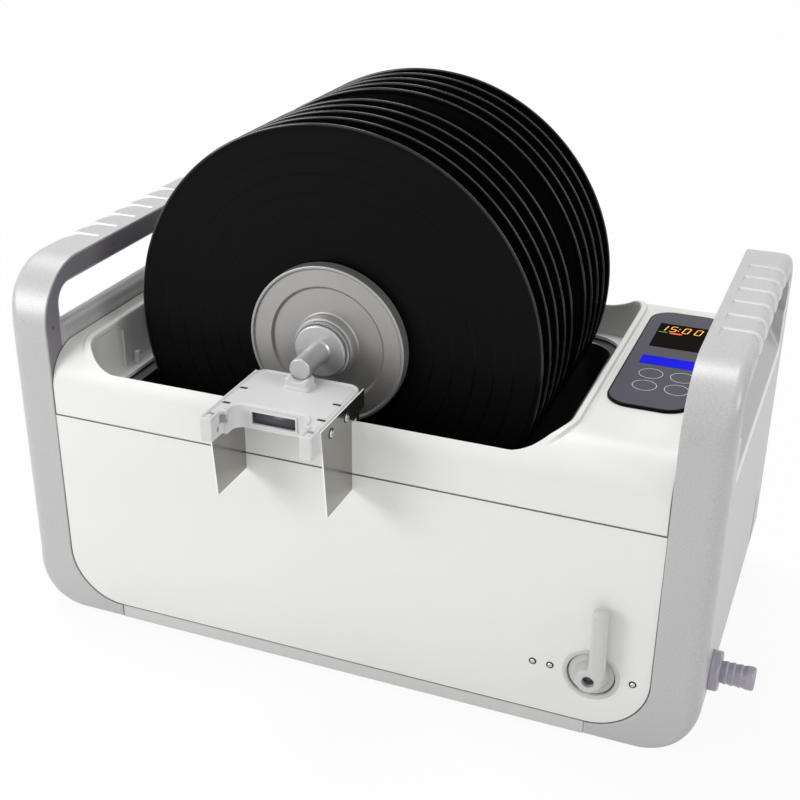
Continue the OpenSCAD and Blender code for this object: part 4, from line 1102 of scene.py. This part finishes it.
SEGMENTS = {"0": "abcdef", "1": "bc", "5": "acdfg"}
CLOCK = (("1", 0.8), ("5", 8.2), ("0", 17.8), ("0", 26.6))
CLOCK_DOTS = (3.0, 7.0)
SLANT = 0.17
PANEL_ROUND = 17.0
PANEL_BORDER = 1.3
WINDOW_SIZE = (36.0, 46.0)
BUTTONS = ((167.4, -18.5), (188.9, -18.0), (167.2, -39.0), (188.8, -38.7))
BAND = [(155.5, -3.2), (193.0, -3.2), (193.0, 12.0), (155.5, 12.0)]


def bar(centre, along, length, width):
    """A six-cornered lit segment."""
    cx, cy = centre
    half, side = length / 2, width / 2
    line = [(-half, 0), (side - half, -side), (half - side, -side), (half, 0), (half - side, side),
            (side - half, side)]
    if along == "y":
        line = [(-v, u) for u, v in line]
    return [(cx + u, cy + v) for u, v in line]


def digit_outlines(digit, left, low):
    """The lit segments of one slanted digit."""
    width, height, stroke = size("digit_width"), size("digit_height"), size("digit_stroke")
    half, gap = height / 2, 0.25
    places = {"a": ((width / 2, height), "x"), "g": ((width / 2, half), "x"), "d": ((width / 2, 0), "x"),
              "b": ((width, half * 1.5), "y"), "c": ((width, half * 0.5), "y"),
              "f": ((0, half * 1.5), "y"), "e": ((0, half * 0.5), "y")}
    outlines = []
    for segment in SEGMENTS[digit]:
        (u, v), along = places[segment]
        length = (width if along == "x" else half) - gap
        outlines.append([(left + p + q * SLANT, low + q) for p, q in bar((u, v), along, length, stroke)])
    return outlines


def prints(name, outlines, low, high, finish, slot, body="housing"):
    """Thin printed shapes as one piece, from counter-clockwise outlines."""
    skins = [skin([[(u, v, z) for u, v in line] for z in (low, high)], caps=True) for line in outlines]
    shell(name, gather(skins), finish, body, slot=slot, smooth=False)


def button_rings(name, width, low, high, finish, slot):
    """The printed rings of the touch buttons."""
    near, far = size("button_radius") - width / 2, size("button_radius") + width / 2
    section = ((near, low), (near, high), (far, high), (far, low))
    skins = [skin([[(u, v, z) for u, v in arc(centre, r, 0, 360, 64)[:-1]] for r, z in section], wrap=True)
             for centre in BUTTONS]
    shell(name, gather(skins), finish, "housing", slot=slot)


def build_control_panel():
    """The control panel: black border, film, display with a plain time, bare band and button rings."""
    centre, panel = (CONTROL_X, CONTROL_Y), ("control_panel",)
    low, high = span("control_panel")
    (width, length, _), top = high - low, high[2]
    outline = rounded_rectangle(centre, width, length, PANEL_ROUND)
    slab("control_panel_base", outline, low[2], top - 0.15, 0.7, "border_black", "housing", panel,
         "panel_film")
    film = rounded_rectangle(centre, width - 2 * PANEL_BORDER, length - 2 * PANEL_BORDER,
                             PANEL_ROUND - PANEL_BORDER)
    slab("control_panel_film", film, top - 0.4, top - 0.02, 0.12, "panel_film", "housing", panel)
    window = middle("display_window")[:2]
    glass = rounded_rectangle(window, *WINDOW_SIZE, 0.5, 3)
    slab("display_glass", glass, top - 0.3, top + 0.03, 0.06, "screen", "housing", ("display_window",))
    left, rear = window[0] - WINDOW_SIZE[0] / 2, window[1] + WINDOW_SIZE[1] / 2
    foot = rear - 14.4
    digits = []
    for digit, at in CLOCK:
        digits += digit_outlines(digit, left + at, foot)
    for dot in CLOCK_DOTS:
        digits.append([(left + 14.3 + u + dot * SLANT, foot + dot + v)
                       for u, v in ((-0.5, -0.5), (0.5, -0.5), (0.5, 0.5), (-0.5, 0.5))])
    green = bar((left + 4.6, rear - 17.2), "x", 7.0, 0.8)
    orange = bar((left + 14.0, rear - 17.6), "x", 9.6, 1.9)
    prints("display_digits", digits, top, top + 0.06, "digit_amber", "screen")
    prints("display_green_bar", [green], top, top + 0.06, "bar_green", "screen")
    prints("display_orange_bar", [orange], top, top + 0.06, "bar_orange", "screen")
    prints("panel_band", [BAND], top - 0.05, top + 0.05, "band_blue", "panel_film")
    button_rings("button_outlines", 0.45, top - 0.05, top + 0.04, "print_white", "panel_film")


# The drain: lever, ring, hose barb and nut


def lever_shape(x, y, z):
    """The drain lever: a tapered hub on a flat disc, and a round arm that rises from the hub's right side."""
    r = np.hypot(x, z)
    hub = meet(r - 8.5 - 0.34 * (y + 9), np.abs(y + 2) - 7, 1.3)
    disc = meet(r - 15.7, np.abs(y - 4.1) - 3.1, 0.5)
    cap = ramp(z, 40.5, 45.5)
    lean = x - 5.2 + 0.014 * (z - 10)
    half_wide = 5.7 - 0.6 * ramp(z, 12, 40) + 0.15 * cap
    front = -12.2 - 1.0 * cap + 2.2 * ramp(z, 14, 4)
    centre, half_deep = (-2.8 + front) / 2, (-2.8 - front) / 2
    above, below = np.maximum(z - 52.5, 0) / 5.7, np.maximum(9 - z, 0) / 7
    power = 2.6
    arm = (np.abs(lean / half_wide) ** power + np.abs((y - centre) / half_deep) ** power + above ** power
           + below ** power) ** (1 / power)
    body = join(join(hub, disc, 0.7), (arm - 1) * 4.7, 1.3)
    return cut(body, meet(r - 4.2, y + 5, 0.3), 0.5)


def build_lever():
    """The drain lever, its screw, and the panel's three small screws."""
    xs = grid((-16.4, 0.5), 16.4)
    ys = grid((-14.4, 0.45), 7.8)
    zs = grid((-16.4, 0.5), 59.4)
    moulding("valve_lever_shape", lever_shape, (xs, ys, zs), "lever_white", "drain_valve", ("valve_lever",),
             (VALVE_X, Y_FRONT, VALVE_Z))
    build_screws("lever_screw", "steel_dark", 1.6, "drain_valve")
    build_screws("panel_screws", "screw_steel", 1.1, "housing", scale=0.6, shade=0.9)


def build_drain_ring():
    """The dished ring round the drain lever."""
    profile = [(4.4, 11.6), (18.6, 11.6), (18.6, 0.2), (19.7, -0.02), (19.0, -0.5), (17.9, -0.9),
               (16.8, -0.8), (16.35, -0.2), (16.3, 7.6), (4.4, 7.9)]
    radii = [0.2, 0.2, 0.1, 0.1, 0.6, 0.6, 0.4, 0.3, 0.2, 0.2]
    corners = [(r, Y_FRONT + y) for r, y in profile]
    lathe("drain_ring_shape", soften(corners, radii, 4, closed=True), (VALVE_X, 0, VALVE_Z), "lever_white",
          "housing", ("drain_ring",), 160)


def nut_shape(x, y, z):
    """A hexagon nut with one face chamfered and a round flange on the other."""
    r = np.hypot(y, z)
    hexagon = -99.0
    for k in range(6):
        a = math.radians(60 * k)
        hexagon = np.maximum(hexagon, y * math.cos(a) + z * math.sin(a) - 13)
    cone = (r + (x - 6.4) * 1.2 - 12.9) * 0.64
    body = meet(meet(hexagon, np.abs(x - 3.25) - 3.25, 0.3), cone, 0.25)
    body = meet(body, r - 14.6, 0.3)
    flange = meet(r - 13.6, np.abs(x - 0.9) - 0.9, 0.3)
    return cut(np.minimum(body, flange), r - 6.95, 0.4)


def build_nut():
    xs = grid((-0.5, 0.3), 7.2)
    across = grid((-15.6, 0.42), 15.6)
    moulding("drain_nut_shape", nut_shape, (xs, across, across), "barb_metal", "housing", ("drain_nut",),
             (OUTER_X, DRAIN_Y, VALVE_Z))


def build_barb():
    """The hose barb with its ribs."""
    crest, root, bore, end = 8.0, 7.15, 5.4, 28.9
    corners = [(bore, 0), (root, 0), (root, 6.3)]
    radii = [0.2, 0.2, 0.2]
    for foot, length in ((6.6, 4.3), (10.9, 4.5), (15.4, 5.0)):
        corners += [(root, foot + 0.2), (root + 0.1, foot + 0.9), (crest - 0.15, foot + length - 0.9),
                    (crest - 0.25, foot + length - 0.2)]
        radii += [0.4, 0.6, 0.6, 0.4]
    corners += [(root, 20.7), (root + 0.15, 21.4), (crest, 23.6), (crest, end - 1.6), (crest - 0.7, end),
                (bore + 0.3, end), (bore, end - 0.3)]
    radii += [0.3, 0.5, 0.8, 0.8, 0.5, 0.2, 0.2]
    lathe("drain_barb_shape", soften(corners, radii, 4, closed=True), (OUTER_X, DRAIN_Y, VALVE_Z),
          "barb_metal", "housing", ("drain_barb",), 112, axis="X")


# The front cradle


SCREW_Y = (-8.9, -33.0)


def cradle_shape(x, y, z):
    """The front cradle: y from the machine's front face, z from the plate's top."""
    side = np.abs(x)
    outer = box2(x, y + 19, 39, 41, np.where(y > -19, 10.0, 1.6))
    recess = np.minimum(box2(x, y + 56.5, 27, 23.5, 7.0), box2(x, y + 68, 30.4, 22, 0.8))
    plan = meet(outer, -recess, 1.0)
    rim = 0.7 * ramp(plan, -1.9, -1.4) - 0.35 * ramp(np.abs(plan + 2.6), 0.6, 0.2)
    body = meet(plan, np.maximum(z - rim, -16 - z), 0.55)
    frame_edge = meet(box2(x, z + 7.4, 16.9, 5.7, 0.8), np.abs(y + 33.1) - 0.8, 0.4)
    foot = 8.6 + 1.0 * ramp(z, 3.2, 0.6)
    saddle = meet(box2(x, y - 6, foot, 6 + foot - 8.6, 2.4), np.abs(z - 3.4) - 4.1, 1.3)
    body = np.minimum(join(body, saddle, 0.5), frame_edge)
    body = cut(body, np.hypot(x, z + CRADLE_TOP - SPINDLE_Z) - 7.6, 0.4)
    hollow = np.maximum(np.maximum(plan + 2.5, z + 3.0), -49.0 - y)
    body = np.maximum(body, -hollow)
    for slot_y in SCREW_Y:
        body = cut(body, np.maximum(box2(side - 33.6, y - slot_y, 2.9, 1.6, 1.2), -6.0 - z), 0.2)
    body = cut(body, np.maximum(box2(x, z + 7.5, 15.5, 4.2, 0.5), np.abs(y + 34) - 2.2), 0.2)
    notch = np.maximum(box2(side - 30, y + 46.0, 5.4, 2.8, 0.5), np.abs(z + 5.0) - 3.0)
    notch = np.minimum(notch, np.maximum(box2(side - 31, y + 51.4, 3.2, 1.4, 0.4), np.abs(z + 10.6) - 1.6))
    notch = np.minimum(notch, np.maximum(box2(side - 34.6, y + 50.4, 2.4, 1.4, 0.5), -3.5 - z))
    return cut(body, notch, 0.2)


def build_front_cradle():
    """The front cradle with sheets of painted shade in its window and slots, and the screws of both cradles.
    """
    half = grid((0, 2.5), (7, 0.5), (10.5, 1.6), (14.6, 0.42), (17.6, 1.6), (25.8, 0.45), 39.9)
    xs = np.concatenate([-half[:0:-1], half])
    ys = grid((-60.8, 0.45), (-43, 0.9), (-35.4, 0.4), (-29.8, 1.4), (-13, 0.45), (-6.6, 1.2), (-1.6, 0.55),
              (2, 1.2), (10, 0.45), 22.8)
    zs = grid((-16.8, 0.4), (-14.8, 0.55), (-3.6, 0.3), (1.2, 0.5), 8.2)
    moulding("front_cradle_shape", cradle_shape, (xs, ys, zs), "rack_white", "front_rack", ("front_cradle",),
             (SPINDLE_X, Y_FRONT, CRADLE_TOP))
    # Painted shade: a dark pane behind the window and black sheets just under the top of the slots stand for
    # the shade inside them.
    y = Y_FRONT - 31.9
    pane = rounded_rectangle((SPINDLE_X, CRADLE_TOP - 7.5), 30.9, 8.3, 0.4, 3)
    loops = [[(u, y - deep, v) for u, v in pane] for deep in (0.0, 0.15)]
    shell("cradle_window_back", skin(loops, caps=True), "window_dark", "front_rack")
    slots = [rounded_rectangle((SPINDLE_X + 33.6 * end, Y_FRONT + at), 5.6, 3.0, 1.1, 4)
             for end in (-1, 1) for at in SCREW_Y]
    prints("cradle_slots", slots, CRADLE_TOP - 0.8, CRADLE_TOP - 0.45, "black_plastic", "black_plastic",
           "front_rack")
    for node, body in (("cradle_screws", "front_rack"), ("rear_cradle_screws", "rear_rack")):
        build_screws(node, "screw_steel", 1.3, body, shade=0.6)


# Nodes of the construction model that keep their shape


SOFT_EDGES = {
    "front_panel": ("cover_white", 0.5), "rear_panel": ("cover_white", 0.5), "base_tray": ("strip_grey", 0.6),
    "well_liner": ("liner_grey", 0.5), "tank": ("tank_steel", 0.3), "tank_gasket": ("rubber", 0.0),
    "feet": ("rubber", 0.6), "rear_cradle": ("rack_white", 0.45), "motor_case": ("rack_white", 0.6),
    "front_flange_left": ("steel_mirror", 0.15), "front_flange_right": ("steel_mirror", 0.15),
    "rear_flange_left": ("steel_mirror", 0.15), "rear_flange_right": ("steel_mirror", 0.15),
    "transducer_heads": ("alu", 0.3), "piezo_rings": ("ceramic", 0.1),
    "transducer_weights": ("steel_dark", 0.2), "heater_pads": ("pad_orange", 0.3),
    "power_board": ("board_green", 0.0), "board_pillars": ("brass", 0.0),
    "display_board": ("board_green", 0.0), "fan_frame": ("black_plastic", 0.3),
    "fan_rotor": ("black_plastic", 0.15),
    "power_inlet": ("black_plastic", 0.3), "valve_body": ("brass", 0.3), "valve_ball": ("steel_mirror", 0.0),
    "drain_elbow": ("tank_steel", 0.0), "drain_pipe": ("tank_steel", 0.0), "gear_motor": ("steel_dark", 0.2),
    "motor_pinion": ("gear_nylon", 0.1), "drive_gear": ("gear_nylon", 0.1),
    "spindle_bush": ("gear_nylon", 0.2),
}


def hull(points):
    """The counter-clockwise outline round 2-D points."""
    order = sorted(set(map(tuple, np.round(points, 3))))
    line = []
    for row in (order, order[::-1]):
        start = len(line)
        for p in row:
            while len(line) > start + 1 and ((line[-1][0] - line[-2][0]) * (p[1] - line[-2][1])
                                             - (line[-1][1] - line[-2][1]) * (p[0] - line[-2][0])) <= 0:
                line.pop()
            line.append(p)
        line.pop()
    return line


def build_panel_gaps():
    """The dark joint round the front and the rear panel."""
    width = size("joint_width")
    section = ((width, -0.03), (-0.1, -0.03), (-0.1, 0.4), (width, 0.4))
    for node, side in (("front_panel", -1), ("rear_panel", 1)):
        low, high = span(node)
        face = low[1] if side < 0 else high[1]
        points = np.concatenate(solids(node))
        line = hull(points[np.abs(points[:, 1] - face) < 0.02][:, (0, 2)])
        loops = [[(u, face - side * deep, v) for u, v in inset(line, shrink)] for shrink, deep in section]
        shell(node + "_joint", skin(loops, wrap=True), "joint_grey", "housing")


def soften_nodes():
    for node, (finish, width) in SOFT_EDGES.items():
        soften_node(node, finish, width)


# Studio


LAMP_TARGET = (0, 0, 0.15)
LAMP_WIDTH = 0.9
SUN_ANGLE = 24
FLOOR_HALF = 9.0


def build_camera():
    """The camera, turned and rolled round its own place."""
    s = stage_settings()
    a, e, r = s.azimuth, s.elevation, s.roll
    back = Vector((math.sin(a) * math.cos(e), -math.cos(a) * math.cos(e), math.sin(e)))
    side = Vector((math.cos(a), math.sin(a), 0))
    up = back.cross(side)
    right = side * math.cos(r) + up * math.sin(r)
    up = -side * math.sin(r) + up * math.cos(r)
    camera = bpy.data.objects.new("camera", bpy.data.cameras.new("camera"))
    camera.data.lens = s.focal
    camera.data.sensor_width = 36
    camera.data.clip_start = 0.02
    turn = Matrix((right, up, back)).transposed()
    camera.matrix_world = Matrix.Translation(s.place) @ turn.to_4x4()
    bpy.context.scene.collection.objects.link(camera)
    bpy.context.scene.camera = camera


def aim(made, place, target):
    """Places a lamp and turns it towards a point."""
    made.location = Vector(place)
    made.rotation_euler = (Vector(target) - made.location).to_track_quat("-Z", "Y").to_euler()


def build_lights():
    """A soft lamp at the front left, two soft suns and a pale background."""
    s = stage_settings()
    lamps = (("key_light", "AREA", s.key, (-1.3, -1.4, 0.9)), ("top_light", "SUN", s.top, (-0.35, 0.3, 1.2)),
             ("side_light", "SUN", s.side, (1.4, -0.25, 0.95)))
    for name, kind, energy, place in lamps:
        light = bpy.data.lights.new(name, kind)
        light.energy = energy
        made = bpy.data.objects.new(name, light)
        if kind == "AREA":
            light.shape = "DISK"
            light.size = LAMP_WIDTH
            made.visible_camera = False
        else:
            light.angle = math.radians(SUN_ANGLE)
        bpy.context.scene.collection.objects.link(made)
        aim(made, place, LAMP_TARGET)
    world = bpy.context.scene.world or bpy.data.worlds.new("World")
    bpy.context.scene.world = world
    world.use_nodes = True
    tree = world.node_tree
    tree.nodes.clear()
    strength = background_rays(tree) * (1.0 - s.ambient) + s.ambient
    shine = add_node(tree, "ShaderNodeBackground", {}, {"Color": (1, 1, 1), "Strength": strength})
    shine.node("ShaderNodeOutputWorld", {}, {"Surface": shine})


def background_rays(tree):
    """1 for the rays in which the background itself shows, 0 for those that light the machine."""
    path = add_node(tree, "ShaderNodeLightPath")
    seen = None
    for ray in ("Is Camera Ray", "Is Glossy Ray", "Is Transmission Ray"):
        share = Wire(tree, path.socket.node.outputs[ray])
        seen = share if seen is None else seen.maths("MAXIMUM", share)
    return seen


def build_floor():
    """A pale floor that shows white, with the machine's soft shadow on it."""
    mesh = bmesh.new()
    bmesh.ops.create_grid(mesh, x_segments=12, y_segments=12, size=FLOOR_HALF)
    data = bpy.data.meshes.new("floor")
    mesh.to_mesh(data)
    mesh.free()
    floor = bpy.data.objects.new("floor", data)
    made = Finish("floor_white", tint(0.92, 0.92, 0.92), 0.9, specular_ior_level=0.0)
    made.set("Roughness", (made.place.noise(3.0) - 0.5) * 0.05 + 0.9)
    white = add_node(made.tree, "ShaderNodeEmission", {}, {"Color": (1, 1, 1), "Strength": 1.0})
    paint = Wire(made.tree, made.shader.outputs[0])
    share = background_rays(made.tree) * 0.93
    mixed = share.node("ShaderNodeMixShader", {}, {0: share, 1: paint, 2: white})
    mixed.feed(made.tree.nodes["Material Output"].inputs["Surface"])
    data.materials.append(made.material)
    bpy.context.scene.collection.objects.link(floor)
    bpy.context.scene.view_settings.view_transform = "Standard"


# Operators, one for each piece or group of like pieces


class RECORDCLEANER_OT_nodes(bpy.types.Operator):
    """Gives the panels, the bath, the cradles and the inner parts their finishes and soft edges"""
    bl_idname = "recordcleaner.nodes"
    bl_label = "Panels, Bath and Inner Parts"
    bl_options = {"REGISTER", "UNDO"}

    def execute(self, context):
        build_panel_gaps()
        soften_nodes()
        return {"FINISHED"}


class RECORDCLEANER_OT_cover(bpy.types.Operator):
    """Builds the white cover with its curved edges and the lip round its opening"""
    bl_idname = "recordcleaner.cover"
    bl_label = "Cover"
    bl_options = {"REGISTER", "UNDO"}

    def execute(self, context):
        build_cover()
        build_cover_joints()
        return {"FINISHED"}


class RECORDCLEANER_OT_end_frames(bpy.types.Operator):
    """Builds both end frames with their handles, scoops and finger grips, and the dark plates in them"""
    bl_idname = "recordcleaner.end_frames"
    bl_label = "End Frames"
    bl_options = {"REGISTER", "UNDO"}

    def execute(self, context):
        build_end_frames()
        build_handle_plates()
        return {"FINISHED"}


class RECORDCLEANER_OT_records(bpy.types.Operator):
    """Builds the records and the spacers between them"""
    bl_idname = "recordcleaner.records"
    bl_label = "Records and Spacers"
    bl_options = {"REGISTER", "UNDO"}

    def execute(self, context):
        build_records()
        build_spacers()
        return {"FINISHED"}


class RECORDCLEANER_OT_clamp(bpy.types.Operator):
    """Builds the hubs, the spindle and the clamp knob with its knurled rim"""
    bl_idname = "recordcleaner.clamp"
    bl_label = "Hubs and Clamp Knob"
    bl_options = {"REGISTER", "UNDO"}

    def execute(self, context):
        build_hubs()
        build_knob()
        return {"FINISHED"}


class RECORDCLEANER_OT_control_panel(bpy.types.Operator):
    """Builds the control panel with its display, band and button outlines"""
    bl_idname = "recordcleaner.control_panel"
    bl_label = "Control Panel"
    bl_options = {"REGISTER", "UNDO"}

    def execute(self, context):
        build_control_panel()
        return {"FINISHED"}


class RECORDCLEANER_OT_cradle(bpy.types.Operator):
    """Builds the front cradle with its raised rim, window and saddle, and the cradles' screws"""
    bl_idname = "recordcleaner.cradle"
    bl_label = "Front Cradle"
    bl_options = {"REGISTER", "UNDO"}

    def execute(self, context):
        build_front_cradle()
        return {"FINISHED"}


class RECORDCLEANER_OT_drain(bpy.types.Operator):
    """Builds the drain lever, its ring, the hose barb and its nut"""
    bl_idname = "recordcleaner.drain"
    bl_label = "Drain"
    bl_options = {"REGISTER", "UNDO"}

    def execute(self, context):
        build_lever()
        build_drain_ring()
        build_nut()
        build_barb()
        return {"FINISHED"}


class RECORDCLEANER_OT_stage(bpy.types.Operator):
    """Sets up the camera, the lights and the pale floor"""
    bl_idname = "recordcleaner.stage"
    bl_label = "Stage"
    bl_options = {"REGISTER", "UNDO"}

    def execute(self, context):
        build_camera()
        build_lights()
        build_floor()
        return {"FINISHED"}


OPERATORS = (RECORDCLEANER_OT_stage, RECORDCLEANER_OT_nodes, RECORDCLEANER_OT_cover,
             RECORDCLEANER_OT_end_frames, RECORDCLEANER_OT_records, RECORDCLEANER_OT_clamp,
             RECORDCLEANER_OT_control_panel, RECORDCLEANER_OT_cradle, RECORDCLEANER_OT_drain)


class RECORDCLEANER_PT_panel(bpy.types.Panel):
    bl_idname = "RECORDCLEANER_PT_panel"
    bl_label = "Record Cleaner"
    bl_space_type = "VIEW_3D"
    bl_region_type = "UI"
    bl_category = "Record Cleaner"

    def draw(self, context):
        for settings in (shape_settings(), finish_settings(), stage_settings()):
            box = self.layout.box()
            for name in settings.__annotations__:
                box.prop(settings, name)
        for operator in OPERATORS:
            self.layout.operator(operator.bl_idname)


CLASSES = (ShapeSettings, FinishSettings, StageSettings) + OPERATORS + (RECORDCLEANER_PT_panel,)


def register():
    for item in CLASSES:
        bpy.utils.register_class(item)
    bpy.types.Scene.record_cleaner_shape = PointerProperty(type=ShapeSettings)
    bpy.types.Scene.record_cleaner_finish = PointerProperty(type=FinishSettings)
    bpy.types.Scene.record_cleaner_stage = PointerProperty(type=StageSettings)


def unregister():
    del bpy.types.Scene.record_cleaner_stage
    del bpy.types.Scene.record_cleaner_finish
    del bpy.types.Scene.record_cleaner_shape
    for item in reversed(CLASSES):
        bpy.utils.unregister_class(item)


def main():
    register()
    for operator in OPERATORS:
        call = getattr(bpy.ops.recordcleaner, operator.bl_idname.split(".")[1])
        if call() != {"FINISHED"}:
            raise RuntimeError(operator.bl_label + " was not finished")


if __name__ == "__main__":
    main()
